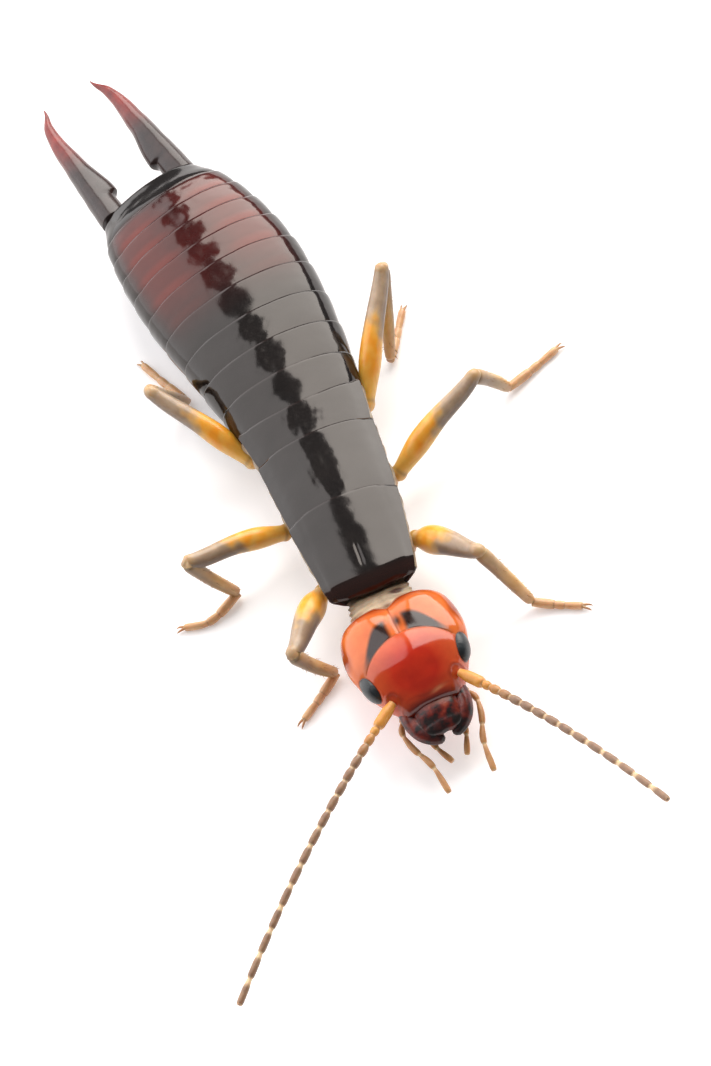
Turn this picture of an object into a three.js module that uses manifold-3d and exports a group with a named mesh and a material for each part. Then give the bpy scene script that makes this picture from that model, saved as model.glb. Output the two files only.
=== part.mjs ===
// Male earwig of a large wingless kind with banded legs, standing on a level floor.
// Millimetres. +X is the insect's left side, -Y is ahead, +Z is up and the floor is z = 0.
// The body frame starts under the middle of the pronotum. The whole insect is moved at the
// end so that the middle of its outline stands over the origin.

import * as THREE from 'three';
import { mergeVertices } from 'three/addons/utils/BufferGeometryUtils.js';
import Module from 'manifold-3d';

const wasm = await Module();
wasm.setup();

// Driving dimensions

const jointGap = 0.08; // clear space kept between two neighbouring pieces
const outlineMiddle = { x: -0.163, y: 3.434 }; // middle of the whole outline, in the body frame

// The trunk's centreline is two parabolas that meet at bendStart, both bent to the insect's right.
const bendStart = 3.5;
const tailBend = 0.0119; // sideways drift per square millimetre
const collarBend = 0.0057;

// Distance along the body, then half width, top and underside there.
const trunkStations = {
  collar: [-2.4, 1.38, 2.36, 1.48],
  prothoraxRear: [0.9, 1.7, 2.6, 0.95],
  mesothoraxRear: [3.4, 1.84, 2.62, 0.84],
  metathoraxRear: [4.8, 1.98, 2.68, 0.78],
  abdomenFront: [7.0, 2.29, 2.88, 0.62],
  abdomenWidest: [10.0, 2.58, 3.05, 0.52],
  abdomenRear: [12.2, 2.48, 3.0, 0.6],
  tailFront: [13.8, 2.14, 2.78, 0.84],
  tailRear: [14.75, 1.74, 2.44, 1.14],
};
const thoraxBoxiness = 2.5; // exponent of the rounded section: 2 is an ellipse
const abdomenBoxiness = 2.3;
const trunkSides = 24;
// Sizes of a ring's cross-sections, as shares of the trunk's full section there. The rear edge of
// each ring stands out over the front of the next one.
const ringSizes = { front: 0.96, shoulder: 0.983, rearLip: 0.985, lipLength: 0.1 };
const collarSizes = { rim: 0.84, roll: 0.93, shoulder: 0.985, rollLength: 0.1, shoulderLength: 0.4 };

const thoraxRings = { prothorax: [-2.4, 0.9], mesothorax: [0.9, 3.4], metathorax: [3.4, 4.8] };
const abdomenLengths = [1.05, 1.14, 1.14, 1.14, 1.08, 0.98, 0.88, 0.82, 0.77, 0.95];

const neck = { x: -0.15, front: -3.4, halfWidth: 0.98, frontShare: 0.9, top: 2.14, underside: 1.4 };

// The head has its own frame: its origin is below the notch at the back, and -Y is ahead.
const headOrigin = { x: -0.08, y: -3.0 };
const headTurn = THREE.MathUtils.degToRad(2);
// Distance from the head's origin, then half width, top and underside there.
const headStations = {
  occiput: [0.4, 1.3, 2.3, 1.3],
  lobes: [-0.4, 1.67, 2.6, 1.05],
  temples: [-1.25, 1.79, 2.74, 0.92],
  eyes: [-2.05, 1.58, 2.68, 0.9],
  sockets: [-2.75, 1.2, 2.36, 0.92],
  clypeus: [-3.32, 0.76, 1.98, 1.04],
};
const occiputRound = 0.55;
const clypeusRound = 0.12;
const headBoxiness = 2.35;
const headSides = 32;
const notch = { depth: 0.22, halfWidth: 0.22, reach: 0.95 };
const frons = { y: -1.95, halfWidth: 1.05, halfLength: 1.0, rise: 0.1, from: 2.0, full: 2.6 };

const eye = { x: 1.39, y: -2.06, z: 1.95, across: 0.27, along: 0.5, upright: 0.38, toeIn: 10 };

const labrum = {
  root: -3.2,
  tip: -4.1,
  rootZ: 1.72,
  tipZ: 1.44,
  halfWidth: 0.64,
  halfThickness: 0.17,
  rows: [0.3, 0.5, 0.7, 0.92], // shares of its length; it rounds off towards its tip
  fullness: 4, // how square the tip is
};

const mandible = {
  points: [[0.74, -2.75, 1.36], [0.72, -3.3, 1.32], [0.5, -3.85, 1.26], [0.16, -4.13, 1.2]],
  rootRadius: 0.3,
  tipRadius: 0.12,
  fullTo: 0.5, // share of its length up to which it keeps its root's thickness
};

const maxillaryPalp = {
  points: [
    [0.84, -2.7, 1.12],
    [1.14, -3.18, 1.0],
    [1.1, -3.6, 0.94],
    [0.8, -4.44, 0.8],
    [0.69, -5.36, 0.56],
  ],
  lengths: [0.3, 0.4, 0.75, 0.6, 0.85],
  rootRadius: 0.2,
  tipRadius: 0.13,
  waist: 0.85,
  sides: 7,
};
const labialPalp = {
  points: [[0.42, -3.0, 1.1], [0.5, -3.75, 0.76], [0.22, -4.48, 0.54]],
  lengths: [0.4, 0.5, 0.5],
  rootRadius: 0.19,
  tipRadius: 0.13,
  waist: 0.85,
  sides: 7,
};

// Each antenna is a scape, a pedicel and a flagellum of beads that lengthen towards the tip.
const antenna = {
  scape: 0.85,
  pedicel: 0.25,
  firstBead: 0.34,
  rootRadius: 0.25,
  tipRadius: 0.15,
  waist: 0.82,
  sides: 7,
};
const antennae = {
  left: { root: [1.02, -2.86, 2.0], bend: [3.05, -6.05, 2.2], tip: [4.42, -10.11, 2.9], beads: 13 },
  right: { root: [-1.02, -2.82, 2.0], bend: [-4.72, -5.44, 2.0], tip: [-8.37, -9.21, 1.6], beads: 15 },
};

// The joints of each leg, the tips of its claws and the half height of its thigh. The ankles lie
// just over the floor, and the tarsi rest on it.
const hipHeight = 1.04;
const ankleHeight = 0.24;
const toeHeight = 0.13;
const legs = {
  front_left: {
    hip: [1.45, -0.33], knee: [2.95, -2.64, 2.4], ankle: [3.76, -3.46], claws: [5.24, -4.36], thigh: 0.44,
  },
  front_right: {
    hip: [-1.5, -0.7], knee: [-3.01, -3.0, 2.05], ankle: [-2.13, -2.92], claws: [-3.72, -4.0], thigh: 0.44,
  },
  middle_left: {
    hip: [1.7, 1.9], knee: [4.96, 3.06, 2.4], ankle: [5.81, 3.79], claws: [7.84, 4.55], thigh: 0.37,
  },
  // The last joint of this foot turns out from the two before it.
  middle_right: {
    hip: [-1.72, 1.7],
    knee: [-4.71, 1.18, 2.4],
    ankle: [-3.79, 1.06],
    instep: [-5.0, 0.62],
    claws: [-5.88, 0.86],
    thigh: 0.35,
  },
  hind_left: {
    hip: [1.75, 4.55], knee: [3.9, 7.76, 2.8], ankle: [3.04, 6.52], claws: [4.13, 8.34], thigh: 0.37,
  },
  hind_right: {
    hip: [-1.8, 4.4], knee: [-3.75, 7.09, 2.8], ankle: [-2.95, 8.22], claws: [-3.83, 10.51], thigh: 0.37,
  },
};
const coxa = { inset: 0.8, ahead: 0.3, rise: 0.2, rootRadius: 0.42, tipRadius: 0.33 };
const femur = { rootRadius: 0.27, bellyPlace: 0.33, kneeRadius: 0.26, flatness: 0.88, arch: 0.35 };
const tibia = { rootRadius: 0.25, tipRadius: 0.22, overKnee: 0.12 };
const tarsus = { rootRadius: 0.25, tipRadius: 0.17, waist: 0.9, shares: [0.44, 0.2, 0.36] };
const claw = {
  length: 0.27,
  rootRadius: 0.09,
  tipRadius: 0.03,
  bend: 0.1,
  spread: 0.12,
  tipZ: 0.04,
  sink: 0.1,
};

// The forceps have their own frame at the tail, with +Y pointing back between the two arms.
const tailOrigin = 14.9;
const forcepsTurn = THREE.MathUtils.degToRad(12);
const forceps = {
  baseHeight: 1.8,
  tipHeight: 2.0,
  // Distance back from the frame's origin, then distance from its middle and half width there.
  stations: [
    [-0.2, 1.24, 0.46],
    [1.6, 1.19, 0.4],
    [2.6, 1.18, 0.33],
    [3.5, 1.17, 0.24],
    [4.2, 1.08, 0.16],
    [4.885, 0.85, 0.05],
  ],
  rowsFrom: 0.05, // shares of its length that its even rows span
  rowsTo: 0.96,
  tipSize: 0.6,
  toothPlace: 0.98,
  toothHalfLength: 0.28,
  toothRise: 0.15,
  baseThickness: 0.42,
  roundness: 1.1, // height over width where the arm is slender
};
// The small plate between the arms: [distance back, size] rows, and its full section.
const pygidium = {
  rows: [[-0.35, 1], [-0.05, 0.94], [0.1, 0.7]],
  halfWidth: 0.56,
  top: 2.08,
  underside: 1.46,
};

// Shapes

const turn = 2 * Math.PI;
const up = new THREE.Vector3(0, 0, 1);
const point = (x, y, z) => new THREE.Vector3(x, y, z);

// A smooth function through [place, value] pairs, level at both ends.
function smoothThrough(pairs) {
  const slopes = pairs.map((pair, i) => {
    const before = pairs[i - 1];
    const after = pairs[i + 1];
    return before && after ? (after[1] - before[1]) / (after[0] - before[0]) : 0;
  });
  return (place) => {
    const inside = THREE.MathUtils.clamp(place, pairs[0][0], pairs[pairs.length - 1][0]);
    const i = Math.min(pairs.length - 2, pairs.filter((pair) => pair[0] <= inside).length - 1);
    const span = pairs[i + 1][0] - pairs[i][0];
    const u = (inside - pairs[i][0]) / span;
    const rise = pairs[i][1] * (1 + 2 * u) * (1 - u) ** 2 + slopes[i] * span * u * (1 - u) ** 2;
    return rise + pairs[i + 1][1] * u * u * (3 - 2 * u) + slopes[i + 1] * span * u * u * (u - 1);
  };
}

// One measure of a table of stations, as a smooth function of the distance along it.
function measure(stations, column) {
  const pairs = Object.values(stations).map((row) => [row[0], row[column]]);
  return smoothThrough(pairs.sort((a, b) => a[0] - b[0]));
}

// A point of a rounded section. A boxiness of 2 gives an ellipse, and more gives fuller corners.
function rounded(angle, boxiness) {
  const power = 2 / boxiness;
  const bend = (value) => Math.sign(value) * Math.abs(value) ** power;
  return [bend(Math.cos(angle)), bend(Math.sin(angle))];
}

// Six times the volume of a closed surface: negative where its faces point in.
function signedVolume(geometry) {
  const { position } = geometry.attributes;
  const faces = geometry.index;
  const cornerAt = (i) => point(0, 0, 0).fromBufferAttribute(position, faces.getX(i));
  let total = 0;
  for (let i = 0; i < faces.count; i += 3) {
    total += cornerAt(i).dot(cornerAt(i + 1).cross(cornerAt(i + 2)));
  }
  return total;
}

// Lays a sphere's parallels along a line, so that each row becomes one cross-section.
// rows holds [t, size] pairs, place(t) gives a centre with its sideways and upright directions,
// and section(t, angle) gives the offsets along those two.
function layAlong({ rows, sides, place, section }) {
  const geometry = new THREE.SphereGeometry(1, sides, rows.length - 1);
  const { position, uv } = geometry.attributes;
  for (let i = 0; i < position.count; i += 1) {
    const [t, size] = rows[Math.round((1 - uv.getY(i)) * (rows.length - 1))];
    const { centre, across, above } = place(t);
    const [sideways, upright] = section(t, uv.getX(i) * turn);
    const spot = centre.clone().addScaledVector(across, sideways * size);
    spot.addScaledVector(above, upright * size);
    position.setXYZ(i, spot.x, spot.y, spot.z);
  }
  return closed(geometry);
}

// One closed surface with shared corners, its faces pointing out.
function closed(geometry) {
  geometry.deleteAttribute('normal');
  geometry.deleteAttribute('uv');
  const merged = mergeVertices(geometry, 1e-5);
  if (signedVolume(merged) < 0) {
    const faces = merged.index.array;
    for (let i = 0; i < faces.length; i += 3) [faces[i], faces[i + 1]] = [faces[i + 1], faces[i]];
  }
  return merged;
}

// Centre and directions along a curve. The sideways direction stays level.
function onCurve(curve) {
  return (t) => {
    const tangent = curve.getTangentAt(t);
    const across = point(0, 0, 0).crossVectors(tangent, up).normalize();
    return { centre: curve.getPointAt(t), across, above: across.clone().cross(tangent) };
  };
}

// Centre and directions along a level line that runs straight back.
function straight(x, z) {
  return (y) => ({ centre: point(x, y, z), across: point(1, 0, 0), above: up });
}

// Rows of a rod with round ends: fractions of its length, with the share of its thickness there.
function roundEndedRows(startRound, endRound, middle) {
  const cap = [Math.PI / 6, Math.PI / 3].map((a) => [1 - Math.cos(a), Math.sin(a)]);
  const start = cap.map(([inset, size]) => [startRound * inset, size]);
  const end = cap.map(([inset, size]) => [1 - endRound * inset, size]).reverse();
  return [[0, 0], ...start, ...middle.map((t) => [t, 1]), ...end, [1, 0]];
}

function evenly(from, to, steps) {
  return Array.from({ length: steps + 1 }, (_, i) => from + ((to - from) * i) / steps);
}

// A round rod along a curve, with its radius a function of the fraction of its length.
function rod({ curve, radius, sides, middle, flatness = 1, roundness = 0.9 }) {
  const length = curve.getLength();
  const startRound = (roundness * radius(0)) / length;
  const endRound = (roundness * radius(1)) / length;
  return layAlong({
    rows: roundEndedRows(startRound, endRound, middle(startRound, 1 - endRound)),
    sides,
    place: onCurve(curve),
    section: (t, angle) => [flatness * radius(t) * Math.cos(angle), radius(t) * Math.sin(angle)],
  });
}

// Cutting

function solidOf(geometry) {
  const mesh = new wasm.Mesh({
    numProp: 3,
    vertProperties: new Float32Array(geometry.attributes.position.array),
    triVerts: new Uint32Array(geometry.index.array),
  });
  return new wasm.Manifold(mesh);
}

function geometryOf(solid) {
  const bySize = solid.decompose().sort((a, b) => b.volume() - a.volume());
  const mesh = bySize[0].getMesh();
  const geometry = new THREE.BufferGeometry();
  geometry.setAttribute('position', new THREE.BufferAttribute(mesh.vertProperties, 3));
  geometry.setIndex(new THREE.BufferAttribute(mesh.triVerts, 1));
  return geometry;
}

// The same shape, thicker by the joint gap all round.
function grown(geometry) {
  const thicker = geometry.clone();
  thicker.computeVertexNormals();
  const { position, normal } = thicker.attributes;
  for (let i = 0; i < position.count; i += 1) {
    const spot = point(0, 0, 0).fromBufferAttribute(position, i);
    spot.addScaledVector(point(0, 0, 0).fromBufferAttribute(normal, i), jointGap);
    position.setXYZ(i, spot.x, spot.y, spot.z);
  }
  return solidOf(thicker);
}

// The piece without what its neighbours and the joint gap round them take up.
function clearOf(geometry, neighbours) {
  const cut = (solid, neighbour) => solid.subtract(grown(neighbour));
  return geometryOf(neighbours.reduce(cut, solidOf(geometry)));
}

// Feet are cut flat where they stand on the floor.
const underFloor = solidOf(closed(new THREE.BoxGeometry(40, 40, 2).translate(0, 0, -1)));
const aboveFloor = (geometry) => geometryOf(solidOf(geometry).subtract(underFloor));

// Finishes

const finishes = {
  black: [0x1d191a, 0.25],
  headOrange: [0xd2622a, 0.3],
  mouthBrown: [0x5a1a14, 0.35],
  eyeBlack: [0x23282b, 0.4],
  neckCream: [0xc9b394, 0.6],
  legOchre: [0xd9a04a, 0.4],
  feelerBrown: [0x94704f, 0.5],
  forcepsRed: [0x5c2523, 0.3],
};

const earwig = new THREE.Group();
earwig.position.set(-outlineMiddle.x, -outlineMiddle.y, 0);

// Names a piece and hangs it at the joint that it grows from.
function addPiece(name, geometry, finish, joint) {
  const [color, roughness] = finishes[finish];
  const material = new THREE.MeshStandardMaterial({ color, roughness, metalness: 0 });
  geometry.translate(-joint.x, -joint.y, -joint.z);
  geometry.computeVertexNormals();
  const mesh = new THREE.Mesh(geometry, material);
  mesh.name = name;
  mesh.position.copy(joint);
  earwig.add(mesh);
}

// Trunk

const trunkHalfWidth = measure(trunkStations, 1);
const trunkTop = measure(trunkStations, 2);
const trunkUnderside = measure(trunkStations, 3);
const bendAt = (y) => (y > bendStart ? tailBend : collarBend);
const centreX = (y) => -bendAt(y) * (y - bendStart) ** 2;
const heading = (y) => Math.atan(2 * bendAt(y) * (y - bendStart));

function onTrunk(y) {
  const centre = point(centreX(y), y, (trunkTop(y) + trunkUnderside(y)) / 2);
  return { centre, across: point(Math.cos(heading(y)), Math.sin(heading(y)), 0), above: up };
}

function trunkSection(boxiness) {
  return (y, angle) => {
    const [sideways, upright] = rounded(angle, boxiness);
    return [sideways * trunkHalfWidth(y), (upright * (trunkTop(y) - trunkUnderside(y))) / 2];
  };
}

function ringRows(front, rear) {
  return [
    [front, 0],
    [front, ringSizes.front],
    [front + (rear - front) / 4, ringSizes.shoulder],
    [rear - ringSizes.lipLength, 1],
    [rear, ringSizes.rearLip],
    [rear, 0],
  ];
}

// The pronotum's front edge is a steep rounded rim.
function collarRows(front, rear) {
  return [
    [front, 0],
    [front, collarSizes.rim],
    [front + collarSizes.rollLength, collarSizes.roll],
    [front + collarSizes.shoulderLength, collarSizes.shoulder],
    [(front + rear) / 2, 1],
    [rear - ringSizes.lipLength, 1],
    [rear, ringSizes.rearLip],
    [rear, 0],
  ];
}

function addRing(name, front, rear, boxiness, rowsOf) {
  const rows = rowsOf(front + jointGap / 2, rear - jointGap / 2);
  const shape = { rows, sides: trunkSides, place: onTrunk, section: trunkSection(boxiness) };
  const geometry = layAlong(shape);
  addPiece(name, geometry.clone(), 'black', onTrunk(front).centre);
  return geometry;
}

const rings = Object.entries(thoraxRings).map(([name, [front, rear]]) => (
  addRing(name, front, rear, thoraxBoxiness, name === 'prothorax' ? collarRows : ringRows)
));
let ringFront = thoraxRings.metathorax[1];
abdomenLengths.forEach((length, i) => {
  rings.push(addRing(`abdomen_${i + 1}`, ringFront, ringFront + length, abdomenBoxiness, ringRows));
  ringFront += length;
});

// Head

const headFrame = new THREE.Matrix4().makeRotationZ(headTurn).setPosition(headOrigin.x, headOrigin.y, 0);
const inHead = ([x, y, z], side = 1) => point(side * x, y, z).applyMatrix4(headFrame);

function headCapsule() {
  const halfWidth = measure(headStations, 1);
  const top = measure(headStations, 2);
  const underside = measure(headStations, 3);
  const back = headStations.occiput[0];
  const front = headStations.clypeus[0];
  const length = back - front;
  const rows = roundEndedRows(occiputRound / length, clypeusRound / length,
    evenly(occiputRound / length, 1 - clypeusRound / length, 11));
  const geometry = layAlong({
    rows,
    sides: headSides,
    place: (t) => {
      const y = back - t * length;
      return { centre: point(0, y, (top(y) + underside(y)) / 2), across: point(1, 0, 0), above: up };
    },
    section: (t, angle) => {
      const y = back - t * length;
      const [sideways, upright] = rounded(angle, headBoxiness);
      return [sideways * halfWidth(y), (upright * (top(y) - underside(y))) / 2];
    },
  });
  raiseRelief(geometry);
  return geometry.applyMatrix4(headFrame);
}

// The notch that parts the two lobes at the back, and the low dome of the forehead.
function raiseRelief(geometry) {
  const { position } = geometry.attributes;
  for (let i = 0; i < position.count; i += 1) {
    const spot = point(0, 0, 0).fromBufferAttribute(position, i);
    const fade = THREE.MathUtils.clamp((spot.y + notch.reach) / notch.reach, 0, 1);
    const dome = ((spot.y - frons.y) / frons.halfLength) ** 2 + (spot.x / frons.halfWidth) ** 2;
    const onTop = THREE.MathUtils.smoothstep(spot.z, frons.from, frons.full);
    spot.y -= notch.depth * Math.exp(-((spot.x / notch.halfWidth) ** 2)) * fade;
    spot.z += frons.rise * Math.exp(-dome) * onTop;
    position.setXYZ(i, spot.x, spot.y, spot.z);
  }
}

function eyeball(side) {
  const geometry = new THREE.SphereGeometry(1, 12, 8).rotateX(Math.PI / 2);
  geometry.scale(eye.across, eye.along, eye.upright);
  geometry.rotateZ(-side * THREE.MathUtils.degToRad(eye.toeIn));
  geometry.translate(side * eye.x, eye.y, eye.z);
  return closed(geometry.applyMatrix4(headFrame));
}

// Share of full thickness along a jointed rod: a waist at each joint.
function beadRows(lengths, waist) {
  const total = lengths.reduce((sum, length) => sum + length, 0);
  const rows = [];
  let at = 0;
  for (const length of lengths) {
    rows.push([at / total, waist], [(at + 0.5 * length) / total, 1]);
    at += length;
  }
  return [...rows, [1, waist]];
}

// A jointed feeler, palp or tarsus: beads on a curve, thinner towards the tip.
function beaded({ curve, lengths, rootRadius, tipRadius, waist, sides }) {
  const rows = beadRows(lengths, waist);
  return layAlong({
    rows: [[0, 0], ...rows, [1, 0]],
    sides,
    place: onCurve(curve),
    section: (t, angle) => {
      const radius = THREE.MathUtils.lerp(rootRadius, tipRadius, t);
      return [radius * Math.cos(angle), radius * Math.sin(angle)];
    },
  });
}

const capsule = headCapsule();
const eyes = { left: eyeball(1), right: eyeball(-1) };

function antennaShape({ root, bend, tip, beads }) {
  const curve = new THREE.QuadraticBezierCurve3(inHead(root), inHead(bend), inHead(tip));
  const flagellum = curve.getLength() - antenna.scape - antenna.pedicel;
  const growth = (2 * (flagellum - beads * antenna.firstBead)) / (beads * (beads - 1));
  const lengths = Array.from({ length: beads }, (_, i) => antenna.firstBead + growth * i);
  return beaded({ ...antenna, curve, lengths: [antenna.scape, antenna.pedicel, ...lengths] });
}

function palpShape(palp, side) {
  const curve = new THREE.CatmullRomCurve3(palp.points.map((spot) => inHead(spot, side)));
  return beaded({ ...palp, curve });
}

function labrumShape() {
  const length = labrum.root - labrum.tip;
  const tapered = labrum.rows.map((t) => [t, Math.sqrt(1 - t ** labrum.fullness)]);
  return layAlong({
    rows: [[0, 0], [0, 1], ...tapered, [1, 0]],
    sides: 16,
    place: (t) => ({
      centre: point(0, labrum.root - t * length, THREE.MathUtils.lerp(labrum.rootZ, labrum.tipZ, t)),
      across: point(1, 0, 0),
      above: up,
    }),
    section: (t, angle) => {
      const [sideways, upright] = rounded(angle, headBoxiness);
      return [sideways * labrum.halfWidth, upright * labrum.halfThickness];
    },
  }).applyMatrix4(headFrame);
}

function mandibleShape(side) {
  return rod({
    curve: new THREE.CatmullRomCurve3(mandible.points.map((spot) => inHead(spot, side))),
    radius: smoothThrough([
      [0, mandible.rootRadius],
      [mandible.fullTo, mandible.rootRadius],
      [1, mandible.tipRadius],
    ]),
    sides: 10,
    middle: (from, to) => evenly(from, to, 4),
  });
}

const sides = { left: 1, right: -1 };
const upperLip = clearOf(labrumShape(), [capsule]);
addPiece('labrum', upperLip.clone(), 'mouthBrown', inHead([0, labrum.root, labrum.rootZ]));

const feelerRoots = [];
for (const [sideName, side] of Object.entries(sides)) {
  const jaw = clearOf(mandibleShape(side), [capsule, upperLip]);
  const longPalp = palpShape(maxillaryPalp, side);
  const shortPalp = palpShape(labialPalp, side);
  const feeler = antennaShape(antennae[sideName]);
  feelerRoots.push(longPalp, shortPalp, feeler);
  const hang = (name, shape, finish, root) => addPiece(`${name}_${sideName}`, shape.clone(), finish, root);
  hang('mandible', clearOf(jaw, [longPalp, shortPalp]), 'mouthBrown', inHead(mandible.points[0], side));
  hang('maxillary_palp', longPalp, 'legOchre', inHead(maxillaryPalp.points[0], side));
  hang('labial_palp', shortPalp, 'legOchre', inHead(labialPalp.points[0], side));
  hang('antenna', feeler, 'feelerBrown', inHead(antennae[sideName].root));
  hang('eye', eyes[sideName], 'eyeBlack', inHead([eye.x, eye.y, eye.z], side));
}
const skull = clearOf(capsule, [eyes.left, eyes.right, ...feelerRoots]);
addPiece('head', skull, 'headOrange', inHead([0, 0, neck.top]));

// Neck

function neckShape() {
  const rear = thoraxRings.prothorax[0] - jointGap / 2;
  return layAlong({
    rows: [[rear, 0], [rear, 1], [neck.front, neck.frontShare], [neck.front, 0]],
    sides: 16,
    place: straight(neck.x, (neck.top + neck.underside) / 2),
    section: (y, angle) => {
      const [sideways, upright] = rounded(angle, abdomenBoxiness);
      return [sideways * neck.halfWidth, (upright * (neck.top - neck.underside)) / 2];
    },
  });
}
const neckRoot = point(0, thoraxRings.prothorax[0], neck.top);
addPiece('neck', clearOf(neckShape(), [capsule]), 'neckCream', neckRoot);

// Legs

// Two curved claws spread from the end of the last tarsal joint.
function withClaws(geometry, instep, toe) {
  const ahead = toe.clone().sub(instep).setZ(0).normalize();
  const aside = ahead.clone().cross(up);
  let solid = solidOf(geometry);
  for (const side of Object.values(sides)) {
    const root = toe.clone().addScaledVector(ahead, -claw.sink);
    const bend = toe.clone().addScaledVector(ahead, claw.length / 2);
    bend.addScaledVector(aside, side * claw.bend);
    const tip = toe.clone().addScaledVector(ahead, claw.length);
    tip.addScaledVector(aside, side * claw.spread).setZ(claw.tipZ);
    const curve = new THREE.QuadraticBezierCurve3(root, bend, tip);
    const radius = (t) => THREE.MathUtils.lerp(claw.rootRadius, claw.tipRadius, t);
    solid = solid.add(solidOf(rod({ curve, radius, sides: 5, middle: (from, to) => evenly(from, to, 1) })));
  }
  return geometryOf(solid);
}

for (const [name, leg] of Object.entries(legs)) {
  const hip = point(...leg.hip, hipHeight);
  const knee = point(...leg.knee);
  const ankle = point(...leg.ankle, ankleHeight);
  const clawTips = point(...leg.claws, toeHeight);
  const instep = leg.instep ? point(...leg.instep, toeHeight) : ankle.clone().lerp(clawTips, 0.5);
  const toe = clawTips.clone().addScaledVector(clawTips.clone().sub(instep).normalize(), -claw.length);
  const arch = hip.clone().lerp(knee, 0.5).addScaledVector(up, femur.arch);
  const coxaRoot = hip.clone().add(point(-Math.sign(hip.x) * coxa.inset, -coxa.ahead, coxa.rise));
  const kneeward = knee.clone().sub(hip).normalize();
  const shin = knee.clone().addScaledVector(kneeward, tibia.overKnee);

  const coxaPiece = rod({
    curve: new THREE.LineCurve3(coxaRoot, hip),
    radius: (t) => THREE.MathUtils.lerp(coxa.rootRadius, coxa.tipRadius, t),
    sides: 10,
    middle: (from, to) => evenly(from, to, 1),
  });
  const femurPiece = rod({
    curve: new THREE.QuadraticBezierCurve3(hip, arch, knee),
    radius: smoothThrough([[0, femur.rootRadius], [femur.bellyPlace, leg.thigh], [1, femur.kneeRadius]]),
    flatness: femur.flatness,
    sides: 10,
    middle: (from, to) => evenly(from, to, 4),
  });
  const tibiaPiece = rod({
    curve: new THREE.LineCurve3(shin, ankle),
    radius: (t) => THREE.MathUtils.lerp(tibia.rootRadius, tibia.tipRadius, t),
    sides: 9,
    middle: (from, to) => evenly(from, to, 1),
  });
  const footCurve = new THREE.CatmullRomCurve3([ankle, instep, toe]);
  const footLength = footCurve.getLength();
  const tarsusPiece = beaded({
    ...tarsus,
    curve: footCurve,
    lengths: tarsus.shares.map((share) => share * footLength),
    sides: 9,
  });

  addPiece(`coxa_${name}`, clearOf(coxaPiece, rings), 'neckCream', coxaRoot);
  addPiece(`femur_${name}`, clearOf(femurPiece, [coxaPiece, ...rings]), 'legOchre', hip);
  addPiece(`tibia_${name}`, aboveFloor(clearOf(tibiaPiece, [femurPiece])), 'legOchre', knee);
  const foot = clearOf(withClaws(tarsusPiece, instep, toe), [tibiaPiece]);
  addPiece(`tarsus_${name}`, aboveFloor(foot), 'legOchre', ankle);
}

// Forceps and the small plate between them

const tailFrame = new THREE.Matrix4().makeRotationZ(forcepsTurn);
tailFrame.setPosition(centreX(tailOrigin), tailOrigin, 0);
const lastRing = rings[rings.length - 1];

// One arm: broad at the base, with a blunt tooth on its inner edge, and a fine incurved tip.
function forcepsShape(side) {
  const first = forceps.stations[0][0];
  const last = forceps.stations[forceps.stations.length - 1][0];
  const fromMiddle = smoothThrough(forceps.stations.map((row) => [row[0], row[1]]));
  const halfWidth = smoothThrough(forceps.stations.map((row) => [row[0], row[2]]));
  const middleRows = evenly(forceps.rowsFrom, forceps.rowsTo, 12).map((t) => [t, 1]);
  const toothAt = (along) => {
    const reach = (along - forceps.toothPlace) / forceps.toothHalfLength;
    return forceps.toothRise * Math.exp(-(reach ** 2));
  };
  return layAlong({
    rows: [[0, 0], [0, 1], ...middleRows, [1, forceps.tipSize], [1, 0]],
    sides: 12,
    place: (t) => {
      const along = THREE.MathUtils.lerp(first, last, t);
      const height = THREE.MathUtils.lerp(forceps.baseHeight, forceps.tipHeight, t);
      const centre = point(side * fromMiddle(along), along, height);
      return { centre, across: point(side, 0, 0), above: up };
    },
    section: (t, angle) => {
      const along = THREE.MathUtils.lerp(first, last, t);
      const inward = Math.max(0, -Math.cos(angle)) * toothAt(along);
      const thickness = Math.min(forceps.baseThickness, halfWidth(along) * forceps.roundness);
      return [halfWidth(along) * Math.cos(angle) - inward, thickness * Math.sin(angle)];
    },
  }).applyMatrix4(tailFrame);
}

function pygidiumShape() {
  const ends = [pygidium.rows[0], pygidium.rows[pygidium.rows.length - 1]];
  return layAlong({
    rows: [[ends[0][0], 0], ...pygidium.rows, [ends[1][0], 0]],
    sides: 12,
    place: straight(0, (pygidium.top + pygidium.underside) / 2),
    section: (y, angle) => {
      const [sideways, upright] = rounded(angle, headBoxiness);
      return [sideways * pygidium.halfWidth, (upright * (pygidium.top - pygidium.underside)) / 2];
    },
  }).applyMatrix4(tailFrame);
}

const arms = [];
for (const [sideName, side] of Object.entries(sides)) {
  const arm = forcepsShape(side);
  arms.push(arm);
  const joint = point(side * forceps.stations[0][1], 0, forceps.baseHeight).applyMatrix4(tailFrame);
  addPiece(`forceps_${sideName}`, clearOf(arm, [lastRing]), 'forcepsRed', joint);
}
addPiece('pygidium', clearOf(pygidiumShape(), [lastRing, ...arms]), 'black',
  point(0, 0, pygidium.top).applyMatrix4(tailFrame));

export default earwig;
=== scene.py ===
# A male earwig with banded legs, finished as a still, life-size model on a plain pale floor.
import math

import bpy
import numpy as np
from mathutils import Matrix, Quaternion, Vector


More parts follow.
